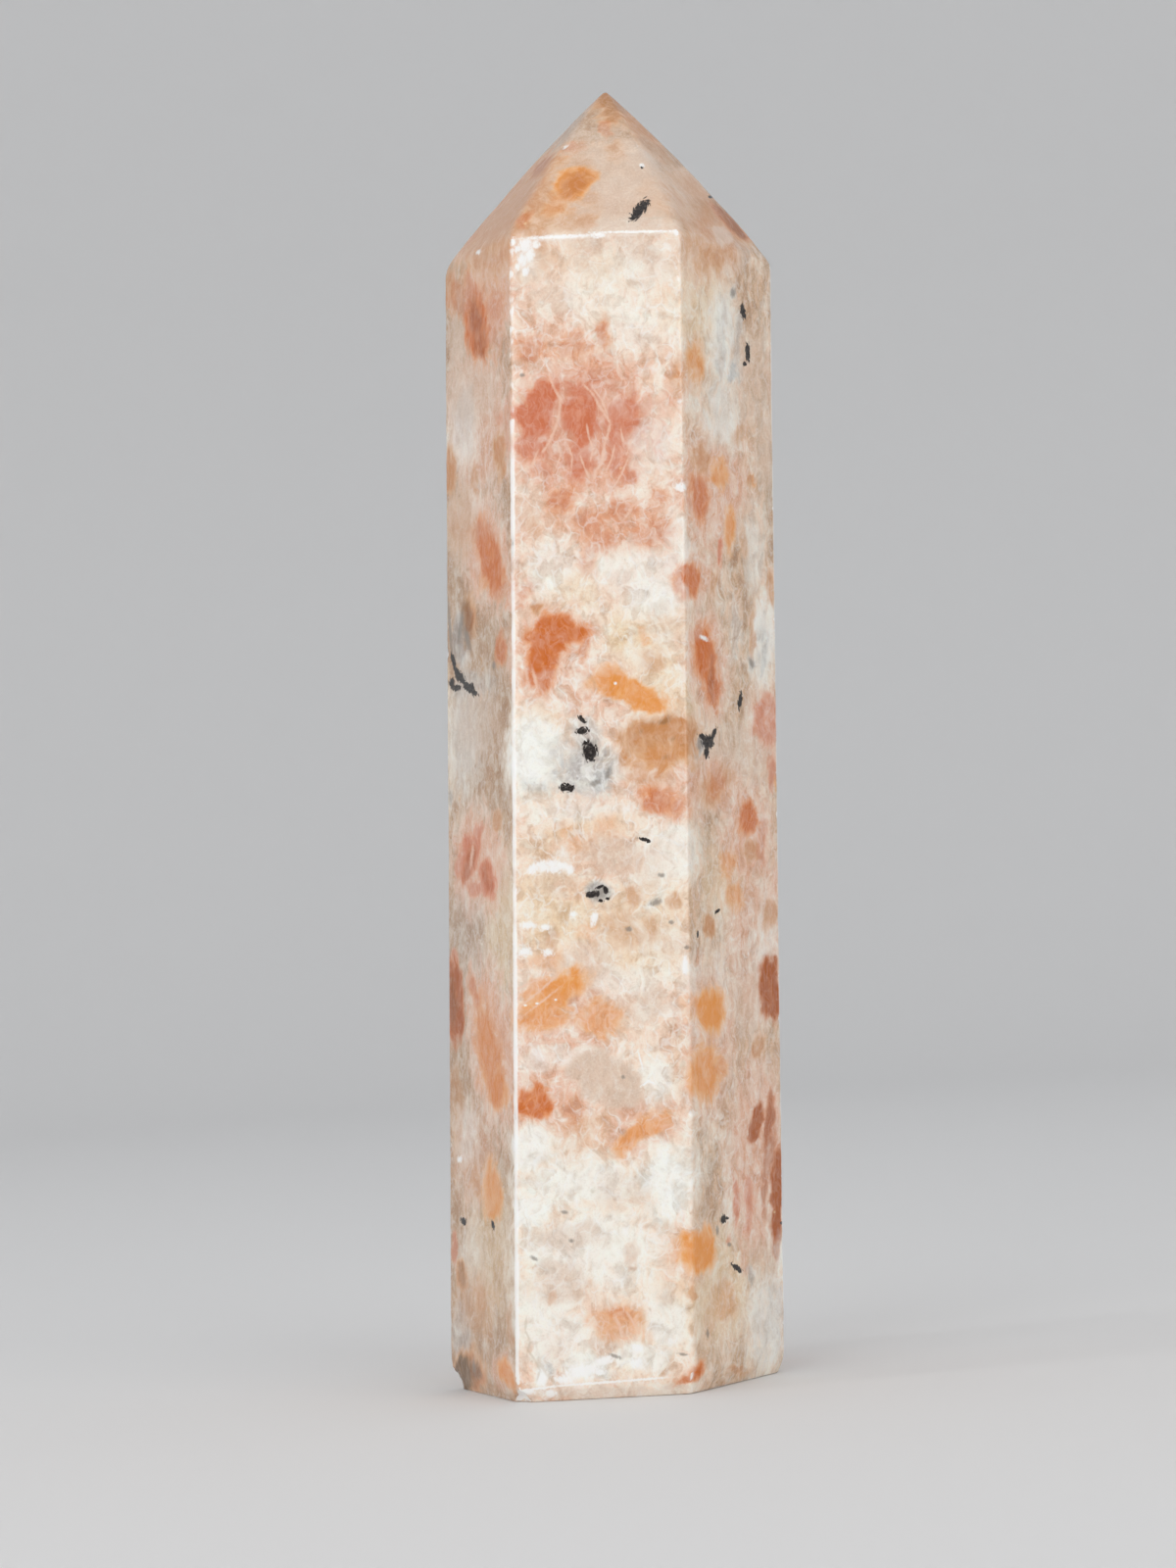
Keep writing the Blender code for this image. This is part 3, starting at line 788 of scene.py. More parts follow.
        (480, 636, 8, 30, 0, 0.4), (746, 228, 10, 60, 42, 0.8), (478, 882, 10, 40, -10, 0.6, 1.0),
        (498, 896, 10, 30, 10, 0.4, 1.0), (726, 696, 9, 50, 3, 0.7, 1.0), (794, 1262, 8, 50, 0, 0.6),
        (553, 168, 7, 26, -42, 0.5),
    ),
    "umber": (
        (587, 186, 36, 22, 30, 0.24, 1.0), (474, 1406, 16, 38, 8, 1.0, 0.6),
        (484, 1401, 8, 28, 5, 0.7, 0.9), (668, 740, 50, 5, 4, 0.45, 1.0), (690, 758, 30, 5, -4, 0.3, 1.0),
        (655, 751, 30, 4, 2, 0.3, 1.0), (680, 775, 40, 4, -2, 0.3, 1.0), (622, 102, 30, 30, 0, 0.35, 1.0),
        (477, 640, 14, 40, 0, 0.45, 0.9), (472, 1304, 8, 26, 5, 0.4), (461, 1022, 10, 50, 4, 0.3, 0.9),
        (476, 632, 12, 44, 0, 0.6), (466, 655, 10, 44, 0, 0.4), (746, 226, 8, 60, 42, 0.35),
        (459, 816, 8, 18, 0, 0.3),
    ),
}
patches = {kind: [Patch(*row) for row in rows] for kind, rows in PATCH_ROWS.items()}
print({kind: len(rows) for kind, rows in PATCH_ROWS.items()})

# %% [markdown]
# ## The sides that the picture doesn't show
#
# Half of the stone faces away from the camera. Plain sides would give it away as soon as it is turned, and
# a copy of the front would too. So seeded patches are laid there, of the same kinds and about the same
# sizes as on the visible sides. In the picture the patches lie in groups: a soft one holds smaller and
# stronger ones. The groups below do the same.

# %% Patches on the hidden sides
HIDDEN_SIDES = [(front + 2 + k) % SIDES for k in range(3)]
CLUSTERS = (  # kinds that lie together, with the one that holds the others first, and how many a side gets
    (("peach", "red", "red", "ember"), 2),
    (("peach", "ember", "ember", "gold"), 2),
    (("cream", "gold", "ember"), 2),
    (("milk", "milk", "smoke"), 2),
    (("milk", "mist", "peach"), 2),
    (("mist", "tan", "tan"), 2),
    (("peach", "cream", "milk"), 3),
    (("ember", "ember", "brick"), 2),
    (("tan", "tan", "umber"), 2),
    (("tan",), 8),
    (("red",), 3),
    (("gold", "tan"), 3),
)
HIDDEN_WIDTHS = {  # millimetres
    "cream": 6.0, "peach": 6.0, "milk": 4.4, "mist": 4.2, "smoke": 2.0, "tan": 1.3, "red": 2.4, "gold": 1.9,
    "ember": 1.6, "brick": 0.9, "umber": 0.7,
}
HIDDEN_STRENGTHS = {"smoke": 0.5, "umber": 0.6, "cream": 0.7}
OTHER_STRENGTH = 0.9
HIDDEN_HEIGHTS = (0.02, 1.12)  # as a share of the shoulder's height, so some lie on the point
SCATTER_ASIDE = 0.30  # how far a group's patches lie from its middle, in its own widths
SCATTER_ALONG = 0.55
TILT_SPREAD = 16  # degrees
WIDTH_RANGE = (0.55, 1.3)  # of the kind's width
LONGER = (1.0, 2.8)  # how many times as tall as wide
STRENGTH_RANGE = (0.65, 1.25)  # of the kind's strength
SOFT_RANGE = (0.5, 1.0)


def hidden_cluster(kinds, side):
    """Seeded patches that lie together on one side, each as a kind, a centre and three half axes."""
    height = random.uniform(*HIDDEN_HEIGHTS) * shoulder
    middle = along_side(side, np.full(1, random.random()), np.full(1, height))[0]
    normal = sides[side].normals[1]
    level = unit(np.cross(up, normal))
    upward = np.cross(normal, level)
    spread = HIDDEN_WIDTHS[kinds[0]] * MM
    for number, kind in enumerate(kinds):
        turn = math.radians(random.normal(0, TILT_SPREAD))
        wide = HIDDEN_WIDTHS[kind] * MM * random.uniform(*WIDTH_RANGE) / 2
        tall = wide * random.uniform(*LONGER)
        across = (level * math.cos(turn) + upward * math.sin(turn)) * wide
        along = (upward * math.cos(turn) - level * math.sin(turn)) * tall
        centre = middle
        if number:
            aside, higher = random.normal(0, SCATTER_ASIDE), random.normal(0, SCATTER_ALONG)
            centre = middle + (level * aside + upward * higher) * spread
        yield kind, (centre, np.array((across, along, normal * wide * 1.2)))


bodies = {kind: [(body_of(p), p.strength, p.soft) for p in found] for kind, found in patches.items()}
for side in HIDDEN_SIDES:
    for kinds, count in CLUSTERS:
        for _ in range(count):
            for kind, body in hidden_cluster(kinds, side):
                strength = HIDDEN_STRENGTHS.get(kind, OTHER_STRENGTH) * random.uniform(*STRENGTH_RANGE)
                bodies[kind].append((body, min(strength, 1), random.uniform(*SOFT_RANGE)))
print(sum(len(b) for b in bodies.values()), "patches in all")

# %% [markdown]
# ## From bodies to values on the mesh
#
# The mesh is fine enough to carry the soft patches itself: each of its points gets one number for each kind
# of patch. The places are first pushed about by noise, because nothing in a stone is a true ellipse. The
# shader later adds the finest grain.

# %% Values at the mesh's points
SWAY_SEED = 2  # noise_vector is shifted by another amount in each run unless the noise is seeded
SWAY = (  # size of the lumps, and how far they push
    (5.0 * MM, 0.45 * MM),
    (1.7 * MM, 0.50 * MM),
    (0.7 * MM, 0.35 * MM),
)

noise.seed_set(SWAY_SEED)
swayed = points.copy()
for number, (size, amount) in enumerate(SWAY):
    shift = Vector((number * 31.7, 4.3, 9.1))
    swayed += amount * np.array([noise.noise_vector(Vector(p) + shift) for p in points / size])

STAIN_AND_SHADE_SIZE = np.array((2.5, 2.5, 6.0)) * MM  # drawn out from foot to shoulder
STAIN_AND_SHADE_STRENGTH = 0.9

shapes = {}
strengths = {}
for kind, kind_bodies in bodies.items():
    shape = np.zeros(len(points))
    cover = np.zeros(len(points))
    for (centre, half_axes), patch_strength, soft in kind_bodies:
        reach_out = np.linalg.norm((swayed - centre) @ np.linalg.inv(half_axes), axis=1)
        inside = np.clip((1 + soft / 2 - reach_out) / soft, 0, 1)
        cover = np.maximum(inside * patch_strength, cover)
        shape = np.maximum(inside, shape)
    shapes[kind] = shape
    strengths[kind] = np.where(shape > 0, cover / np.maximum(shape, 0.001), 0.7)
    print(f"{kind:6} covers {100 * (shape > 0.5).mean():4.1f}% of the points")

# %% Iron stain and painted shade on the narrower sides and the point
SIDE_STAIN_AND_SHADE = 0.70  # iron stain and painted shade on faces that cut across the layers, which lie parallel to the widest face
LEFT_SHADE = 0.70  # painted shade: more of it towards the left
# Painted shade on the point, with more of it towards the left; near the apex the stone is darker still
POINT_SHADE = 0.92
POINT_LEFT_SHADE = 0.55
TIP_DARKER = 0.6
LESS_AT_THE_BACK = 0.6
STAIN_AND_SHADE_UNEVEN = 0.55

across_layers = np.clip(abs(normals[:, 0]), 0, 1)
to_the_left = np.clip(-normals[:, 0], 0, 1)
on_point = np.clip((points[:, 2] - shoulder) / MM, 0, 1)
near_tip = np.clip((points[:, 2] - tip_height + 5 * MM) / (4 * MM), 0, 1)
facing_back = np.clip(2 * normals[:, 1], 0, 1)
stain = SIDE_STAIN_AND_SHADE * across_layers + LEFT_SHADE * to_the_left
stain += on_point * (POINT_SHADE + POINT_LEFT_SHADE * to_the_left)
stain += TIP_DARKER * near_tip
stain *= 1 - LESS_AT_THE_BACK * facing_back
shapes["stain"] = stain * (1 + STAIN_AND_SHADE_UNEVEN * noise_at(points, STAIN_AND_SHADE_SIZE, 9))
strengths["stain"] = np.full(len(points), STAIN_AND_SHADE_STRENGTH)
print("Stained more than half:", f"{100 * (shapes['stain'] > 0.5).mean():.0f}% of the points")

# %% [markdown]
# ## Wear and painted highlights along the edges
#
# A polished edge is where the stone is bruised first: the feldspar turns white there, because the light
# scatters in tiny cracks. A rounded edge also catches the lamps as a thin bright line, and that highlight is
# painted into the colour here as well. The sharpest edges are the whitest. In the picture that is the long
# edge at the left of the widest face and the line of its shoulder, while the edges of the point were lapped
# so round that they hardly show.

# %% Which edge each point is near
LEFT_SIDE, RIGHT_SIDE = (front - 1) % SIDES, (front + 1) % SIDES
BODY_PLANE, FIRST_LAP = 1, 2  # among the planes of a side, counted from the foot bevel up
WEAR_START, WEAR_FULL = 0.12, 0.30  # of edge_turn
LONG_EDGE_START = 0.08
FROSTY_ABOVE = 72 * MM  # the long edge is bruised here; below it the painted highlight runs unbroken
# How white each edge is painted: wear, and the painted highlight of a rounded edge that catches the lamps
PLAIN_WEAR_AND_HIGHLIGHT = 0.35
TIP_WEAR_AND_HIGHLIGHT = 0.12
HIDDEN_WEAR_AND_HIGHLIGHT = 0.75
FULL_WEAR_AND_HIGHLIGHT = 1.0
FROSTY_WEAR_AND_HIGHLIGHT = 0.5
FROSTY_UNEVEN = 0.9
FROSTY_SIZE = 0.5 * MM
RIGHT_EDGE_WEAR_AND_HIGHLIGHT = 0.22
RIGHT_EDGE_TOP_WEAR_AND_HIGHLIGHT = 0.15  # on top of that, near the shoulder
NEAR_SHOULDER = 0.88  # of the shoulder's height
BITE_WEAR = 4  # per millimetre of depth
WEAR_MIDDLE = 0.75
WEAR_UNEVEN = 0.5
WEAR_SIZE = 2.2 * MM


def plane_number(side, plane):
    """The place of one side's plane in all_normals, which starts with the floor's."""
    return 1 + 5 * side + plane


nearness = points @ all_normals.T - all_depths
order = np.argsort(-nearness, axis=1)
first = np.minimum(order[:, 0], order[:, 1])
second = np.maximum(order[:, 0], order[:, 1])


def between_planes(one, other):
    """True for the points whose two nearest planes are these."""
    return (first == min(one, other)) & (second == max(one, other))


edge_wear_and_highlight = np.full(len(points), PLAIN_WEAR_AND_HIGHLIGHT)
edge_wear_and_highlight[points[:, 2] > shoulder + 1.0 * MM] = TIP_WEAR_AND_HIGHLIGHT
for k in range(3):
    corner_planes = [plane_number((front + 1 + k + n) % SIDES, BODY_PLANE) for n in (0, 1)]
    edge_wear_and_highlight[between_planes(*corner_planes)] = HIDDEN_WEAR_AND_HIGHLIGHT
left_edge = between_planes(plane_number(LEFT_SIDE, BODY_PLANE), plane_number(front, BODY_PLANE))
right_edge = between_planes(plane_number(RIGHT_SIDE, BODY_PLANE), plane_number(front, BODY_PLANE))
shoulder_edge = between_planes(plane_number(front, BODY_PLANE), plane_number(front, FIRST_LAP))
foot_edge = between_planes(plane_number(front, BODY_PLANE), plane_number(front, 0))
edge_wear_and_highlight[left_edge] = FULL_WEAR_AND_HIGHLIGHT
frosty = left_edge & (points[:, 2] > FROSTY_ABOVE)
edge_wear_and_highlight[frosty] = FROSTY_WEAR_AND_HIGHLIGHT + FROSTY_UNEVEN * noise_at(points[frosty], FROSTY_SIZE, 8)
near_shoulder = points[right_edge, 2] > NEAR_SHOULDER * shoulder
edge_wear_and_highlight[right_edge] = RIGHT_EDGE_WEAR_AND_HIGHLIGHT + RIGHT_EDGE_TOP_WEAR_AND_HIGHLIGHT * near_shoulder
edge_wear_and_highlight[shoulder_edge] = FULL_WEAR_AND_HIGHLIGHT
edge_wear_and_highlight[foot_edge] = FULL_WEAR_AND_HIGHLIGHT

wear_start = np.where(left_edge, LONG_EDGE_START, WEAR_START)
share = np.clip((edge_turn - wear_start) / (WEAR_FULL - WEAR_START), 0, 1)
patchy = WEAR_MIDDLE + WEAR_UNEVEN * noise_at(points, WEAR_SIZE, 7)
wear_and_highlight = np.clip(share * edge_wear_and_highlight * patchy + BITE_WEAR * bite_depth / MM * (edge_turn > 0.05), 0, 1)
print("Worn points:", int((wear_and_highlight > 0.5).sum()))

# %% [markdown]
# ## The stone's mesh
#
# The points go from upright coordinates back to the frame's, where the column leans. Each list of values
# becomes an attribute on the mesh's points, and an Attribute node can read it by its name. Shading is
# smooth all over, because the rounded edges are real shape here and need no sharp marks.

# %% The stone's mesh
mesh = bpy.data.meshes.new("sunstone")
mesh.from_pydata(leaned(points).tolist(), [], net_faces)
mesh.shade_smooth()
values = {"wear_and_highlight": wear_and_highlight, **shapes}
values.update({kind + "_strength": strength for kind, strength in strengths.items()})
for name, value in values.items():
    mesh.attributes.new(name, "FLOAT", "POINT").data.foreach_set("value", value.astype(np.float32))
stone = bpy.data.objects.new("polished_sunstone", mesh)
bpy.context.scene.collection.objects.link(stone)
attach(stone, "root")
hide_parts("sunstone_tower")
print("Triangles:", sum(len(f) - 2 for f in net_faces))

# %% [markdown]
# ## Crystals, crumbs and cracks
#
# The dark specks are iron-rich crystals with clean outlines, and some are smaller than the mesh's faces.
# One number at each mesh point would blur them. So each point carries its place inside the nearest small
# mark: its distance from the middle along the mark's three axes, counted in the mark's radii. Those three
# numbers change evenly over a face, so the shader reads them exactly between the points, and the mark is
# where their length is below 1. Marks that are close together go into different layers, so that no face
# lies between two marks of one layer.

# %% Small marks
THREAD_OVERLAP = 1.3


def thread(width, *bends):
    """A thin winding line through pixels of the picture, as a chain of long narrow patches."""
    chain = []
    for (x0, y0), (x1, y1) in zip(bends, bends[1:]):
        length = math.hypot(x1 - x0, y1 - y0)
        tilt = math.degrees(math.atan2(x0 - x1, y0 - y1))
        chain.append(Patch((x0 + x1) / 2, (y0 + y1) / 2, width, length * THREAD_OVERLAP, tilt))
    return chain


DARK = (  # the numbers of a Patch, in its order
    (653, 213, 10, 26, -42), (655, 170, 3, 3), (726, 200, 6, 3), (744, 214, 5, 4), (758, 318, 5, 14, 8),
    (763, 360, 5, 18, 2), (760, 371, 4, 5), (480, 704, 8, 6, -20),
    *thread(4, (461, 668), (464, 680), (467, 688), (472, 695), (480, 702), (487, 709)),
    (466, 702, 9, 6, 12), (469, 690, 8, 14, 30), (478, 701, 10, 7, -20), *thread(3, (482, 698), (483, 709)),
    (461, 697, 5, 9), (594, 734, 10, 4, -45), (594, 746, 13, 7, 10), (602, 767, 14, 18, 12),
    (575, 804, 8, 8), (581, 804, 9, 8, -5), (722, 757, 11, 14),
    *thread(4, (722, 757), (727, 753), (730, 744)), (717, 752, 9, 5, -30), (721, 768, 5, 12),
    (755, 715, 4, 18, -6), (603, 913, 11, 6, 8), (612, 905, 9, 3, 20), (618, 908, 5, 8, 15),
    (613, 919, 6, 3, -15), (610, 912, 4, 6), (620, 917, 4, 3), (473, 1246, 5, 8, 25), (503, 1250, 3, 9, 8),
    (738, 1244, 5, 9, -12), (752, 1294, 13, 5, -42), (798, 1248, 3, 3), (732, 930, 7, 3, 40),
    (658, 857, 12, 4, -15), (712, 953, 2, 8), (742, 1243, 3, 3),
)
FAINT = (
    (620, 790, 5, 14, -20), (607, 799, 14, 6, 10), (611, 911, 22, 17), (602, 764, 16, 19), (504, 679, 4, 8),
    (459, 640, 3, 60, 4), (628, 1384, 12, 4, -20), (697, 1382, 10, 3, -8), (642, 948, 7, 5),
    (685, 941, 5, 4), (675, 893, 7, 5), (701, 967, 5, 4), (583, 1266, 5, 4), (732, 1256, 3, 10),
    (722, 1361, 3, 9), (748, 299, 5, 9), (767, 677, 4, 10, 20), (636, 1099, 4, 4), (483, 1394, 3, 16),
    (477, 652, 5, 26, 12), (669, 921, 13, 7, 15), (714, 759, 6, 14), (470, 640, 4, 30, -8),
    (744, 1270, 4, 4), (533, 383, 5, 4), (576, 1237, 7, 4, -10), (545, 1284, 8, 4, -30),
)
CRACKS = (
    *thread(2.5, (537, 1346), (536, 1358), (541, 1368), (539, 1378), (546, 1388)), (618, 776, 3, 22, -75),
    *thread(2.5, (546, 1388), (551, 1398), (548, 1408)), *thread(4, (550, 1390), (558, 1402), (568, 1414)),
    *thread(2, (660, 222), (676, 221)),
)
# White flecks, and painted highlights: the sheen at the top left of the widest face, the line along its
# shoulder, the bright arc of a small flake and the line along the foot
WHITE_FLECKS_AND_HIGHLIGHTS = (
    # Painted reflection: the first eight marks are the sheen at the top left of the widest face, and the next
    # three the painted highlight along its shoulder
    (536, 250, 13, 13, -10), (540, 260, 9, 14, -10), (533, 265, 9, 12), (536, 277, 7, 9), (528, 254, 7, 8),
    (523, 247, 6, 7), (547, 250, 8, 6), (528, 272, 5, 7), (571, 241, 74, 3, 3), (611, 239, 14, 5),
    (650, 236, 84, 2.5, 1), (539, 944, 15, 7),
    # Painted highlight: the bright arc of a small flake
    *thread(8, (540, 889), (548, 883), (558, 881), (568, 882), (578, 885), (585, 889)),
    *thread(8, (550, 886), (560, 886), (572, 887)), (556, 946, 10, 6), (536, 972, 12, 8), (559, 972, 10, 7),
    (606, 938, 6, 14, -15), (585, 933, 7, 5), (487, 257, 5, 5), (469, 1183, 5, 6), (718, 651, 9, 4, -30),
    (695, 497, 12, 8), (699, 984, 5, 20), (650, 1391, 12, 10), (595, 1399, 36, 13, 8), (553, 1406, 9, 22),
    (537, 1421, 18, 5), (562, 1422, 12, 6),
    # Painted highlight: the thread that starts this line runs along the foot's edge
    *thread(2.5, (526, 1420), (572, 1414), (640, 1409), (676, 1406)), (617, 1388, 20, 8, 20),
    (575, 1408, 20, 8), (650, 1376, 12, 8), (612, 1400, 12, 6), (628, 697, 3, 3), (655, 168, 5, 4),
    *thread(2, (655, 1108), (662, 1103), (668, 1106)), *thread(2, (652, 1076), (655, 1088)),
    (567, 1020, 3, 2), (548, 1024, 3, 2), (536, 1026, 3, 2),
)
FEATHERS = (
    *thread(3, (561, 386), (566, 397), (572, 408), (571, 419), (569, 430), (565, 441), (560, 452),
            (553, 462)),
    *thread(3, (596, 393), (602, 399), (607, 405), (611, 414), (617, 422), (622, 431), (621, 441),
            (617, 451)), *thread(3, (617, 451), (616, 461), (614, 472), (608, 480), (605, 492)),
    *thread(2, (606, 397), (614, 408), (620, 424)),
    *thread(2, (599, 434), (601, 446), (605, 458), (603, 468)),
    *thread(2, (627, 456), (624, 468), (619, 480)), *thread(2, (580, 456), (584, 466), (583, 478)),
    *thread(2, (592, 464), (596, 476), (601, 488)), *thread(2, (640, 470), (634, 484), (628, 494)),
    *thread(2, (548, 462), (543, 474)), *thread(2, (634, 440), (636, 452)),
    *thread(2, (569, 452), (572, 464), (568, 476)), *thread(2, (644, 450), (640, 462)),
    *thread(3, (536, 682), (539, 698)), *thread(3, (544, 684), (548, 702)),
    *thread(3, (570, 676), (580, 690)), *thread(2.5, (532, 1026), (550, 1012), (570, 994)),
    *thread(2.5, (540, 1032), (566, 1012)), *thread(3, (536, 1056), (566, 1052)),
    *thread(3, (556, 1064), (590, 1060)), *thread(2, (530, 1008), (548, 1000)),
    *thread(3, (628, 1344), (634, 1358)), *thread(3, (640, 1340), (648, 1352)),
    *thread(3, (483, 862), (480, 884)), *thread(3, (659, 508), (646, 516), (638, 528)),
    *thread(3, (676, 520), (690, 512)),
)
HIDDEN_CRYSTALS = 6  # on each side that the picture doesn't show
HIDDEN_CRYSTAL_SIZE = (0.15 * MM, 0.55 * MM)


def hidden_crystal(side):
    """A seeded dark crystal somewhere on one side."""
    share = np.full(1, random.random())
    height = np.full(1, random.uniform(0.02, 1) * shoulder)
    place = along_side(side, share, height)[0]
    normal = sides[side].normals[1]
    turned = np.array(Matrix.Rotation(random.uniform(0, math.pi), 3, Vector(normal)))
    level = turned @ unit(np.cross(up, normal))
    short, long = sorted((random.uniform(*HIDDEN_CRYSTAL_SIZE), random.uniform(*HIDDEN_CRYSTAL_SIZE)))
    return place, np.array((level * long, np.cross(normal, level) * short, normal * short))


small_marks = {"dark": DARK, "faint": FAINT, "white": WHITE_FLECKS_AND_HIGHLIGHTS, "feather": FEATHERS, "crack": CRACKS}
small_marks = {kind: [body_of(Patch(*row)) for row in rows] for kind, rows in small_marks.items()}
small_marks["dark"] += [hidden_crystal(side) for side in HIDDEN_SIDES for _ in range(HIDDEN_CRYSTALS)]
print(sum(len(marks) for marks in small_marks.values()), "small marks")

# %% Layers of small marks
LONGEST_FACE = 0.62 * MM
OUTSIDE = 20.0  # put in the third number, to say that a point is far from any mark of its layer


def size_of(mark):
    """The longest half axis of a mark."""
    return float(np.linalg.norm(mark[1], axis=1).max())


def apart(one, other):
    """True if two marks are far enough from each other to share a layer."""
    return np.linalg.norm(one[0] - other[0]) > size_of(one) + size_of(other) + 3 * LONGEST_FACE


layers = {}
for kind, marks in small_marks.items():
    kind_layers = []
    for mark in marks:
        home = next((layer for layer in kind_layers if all(apart(mark, other) for other in layer)), None)
        if home is None:
            home = []
            kind_layers.append(home)
        home.append(mark)
    for number, layer in enumerate(kind_layers):
        gap = np.array([np.linalg.norm(points - mark[0], axis=1) - size_of(mark) for mark in layer])
        nearest = gap.argmin(0)
        inside = np.empty_like(points)
        for k, (centre, half_axes) in enumerate(layer):
            inside[nearest == k] = (points[nearest == k] - centre) @ np.linalg.inv(half_axes)
        inside[gap.min(0) > LONGEST_FACE, 2] = OUTSIDE
        layers[f"{kind}_{number}"] = inside
    print(kind, "has", len(marks), "marks in", len(kind_layers), "layers")
for name, inside in layers.items():
    attribute = mesh.attributes.new(name, "FLOAT_VECTOR", "POINT")
    attribute.data.foreach_set("vector", inside.astype(np.float32).ravel())

# %% [markdown]
# ## The stone's finish
#
# A few small functions keep a large node tree readable: one adds a node, and the others are the sums that
# come up again and again. All patterns are worked out in millimetres inside the stone, so they run through
# the edges as they would in a real one. They are squeezed along Y, because the feldspar's layers lie
# parallel to the widest face. That is why the narrower sides look streaked from foot to shoulder and the
# widest face looks crumbly.

# %% Helpers for nodes
finish = bpy.data.materials.new("sunstone")
finish.use_nodes = True
tree = finish.node_tree
shader = tree.nodes["Principled BSDF"]


def add(kind, inputs, **settings):
    """Adds a node. Each input is a plain value or the output of another node."""
    made = tree.nodes.new("ShaderNode" + kind)
    for name, value in settings.items():
        setattr(made, name, value)
    for name, value in inputs.items():
        if isinstance(value, bpy.types.NodeSocket):
            tree.links.new(value, made.inputs[name])
        else:
            made.inputs[name].default_value = value
    return made


def value_at_points(name):
    """The number that the mesh's points carry under a name."""
    return add("Attribute", {}, attribute_name=name).outputs["Fac"]


def calculate(operation, one, other=0.0):
    """A sum with plain numbers."""
    return add("Math", {0: one, 1: other}, operation=operation).outputs[0]


def calculate_vector(operation, one, other):
    """A sum with places."""
    return add("VectorMath", {0: one, 1: other}, operation=operation).outputs[0]


def times(one, other):
    """One value multiplied by another."""
    return calculate("MULTIPLY", one, other)


def opposite(value):
    """1 where a value is 0, and 0 where it is 1."""
    return calculate("SUBTRACT", 1.0, value)


def less(value, amount):
    """1 where a value is 0, and less by an amount where it is 1."""
    return opposite(times(value, amount))


def rise(value, start, full):
    """0 below start, 1 above full and a smooth step between them."""
    inputs = {"Value": value, "From Min": start, "From Max": full}
    return add("MapRange", inputs, interpolation_type="SMOOTHSTEP").outputs[0]


def blend(share, one, other):
    """A mix of two colours."""
    return add("Mix", {0: share, 6: one, 7: other}, data_type="RGBA").outputs[2]


def noise_node(place, size, detail, roughness):
    """A noise texture with lumps of a size in millimetres."""
    return add("TexNoise", {"Vector": place, "Scale": 1 / size, "Detail": detail, "Roughness": roughness})


def lumps(place, size, detail=2.0, roughness=0.5):
    """Noise from 0 to 1 with lumps of a size in millimetres."""
    return noise_node(place, size, detail, roughness).outputs["Fac"]


def pushed(place, size, amount):
    """Places pushed about by noise, up to half an amount in millimetres each way."""
    noise_colour = noise_node(place, size, 2.0, 0.5).outputs["Color"]
    push = calculate_vector("SUBTRACT", noise_colour, (0.5, 0.5, 0.5))
    return calculate_vector("ADD", place, calculate_vector("MULTIPLY", push, (amount, amount, amount)))


def line_in(value, width):
    """1 where a noise passes its middle value: thin winding lines."""
    distance = calculate("ABSOLUTE", calculate("SUBTRACT", value, 0.5))
    return opposite(rise(distance, 0.0, width))


print("A new finish has", len(tree.nodes), "nodes")

# %% [markdown]
# ## Colours
#
# The colour that a picture shows is the stone's own colour times the light on it, plus a veil of the pale
# room that the polish mirrors. Light and veil were measured on this scene's widest face, so a colour can be
# named as it looks there and turned into the stone's own. Each kind of patch has two: the thin rim, through
# which the pale stone shines, and the full heart.

# %% Colours
FRONT_LIGHT = 0.95  # how brightly the lamps light the widest face: 1 shows a colour as it is
VEIL = 0.012  # how much of the pale room that face mirrors


def stone_colour(red, green, blue):
    """The stone's own colour, from the colour that the lit face shows, counted from 0 to 255."""
    shown = np.array((red, green, blue)) / 255
    light = np.where(shown <= 0.04045, shown / 12.92, ((shown + 0.055) / 1.055) ** 2.4)
    return (*np.clip((light - VEIL) / FRONT_LIGHT, 0.002, 0.95), 1)


ROSE_WHITE = stone_colour(239, 206, 184)
WARM_WHITE = stone_colour(244, 223, 203)
CREAM_WHITE = stone_colour(253, 246, 236)
PURE_WHITE = stone_colour(254, 251, 244)
COLOURS = {  # rim and heart of each kind of patch, and a later kind lies over an earlier one
    # The first pair paints iron stain and shade: it darkens the narrower sides, the left and the point
    "stain": (stone_colour(220, 186, 154), stone_colour(174, 136, 102)),
    "cream": (stone_colour(240, 219, 192), stone_colour(234, 209, 174)),
    "peach": (stone_colour(235, 199, 177), stone_colour(228, 176, 148)),
    "milk": (stone_colour(246, 234, 219), stone_colour(254, 250, 240)),
    "mist": (stone_colour(222, 198, 179), stone_colour(216, 189, 168)),
    "smoke": (stone_colour(216, 210, 203), stone_colour(182, 181, 181)),
    "tan": (stone_colour(222, 180, 144), stone_colour(200, 138, 86)),
    "red": (stone_colour(226, 155, 123), stone_colour(206, 116, 80)),
    "gold": (stone_colour(238, 184, 130), stone_colour(230, 150, 72)),
    "ember": (stone_colour(228, 155, 104), stone_colour(204, 106, 38)),
    "brick": (stone_colour(202, 128, 84), stone_colour(170, 88, 34)),
    "umber": (stone_colour(160, 122, 86), stone_colour(112, 80, 46)),
}
IRON_KINDS = ("tan", "red", "gold", "ember", "brick", "umber")
MILKY_KINDS = ("milk", "mist", "smoke")
BLACK = stone_colour(40, 34, 32)
GREY = stone_colour(140, 132, 124)
CRACK = stone_colour(200, 184, 164)
GLINT = stone_colour(255, 226, 178)
WARM_GAP = (0.78, 0.69, 0.62, 1)  # what a colour is multiplied by in the gaps between crumbs
MILKY_GAP = (0.79, 0.76, 0.73, 1)
print(len(COLOURS), "kinds of patch, each with a rim and a heart")

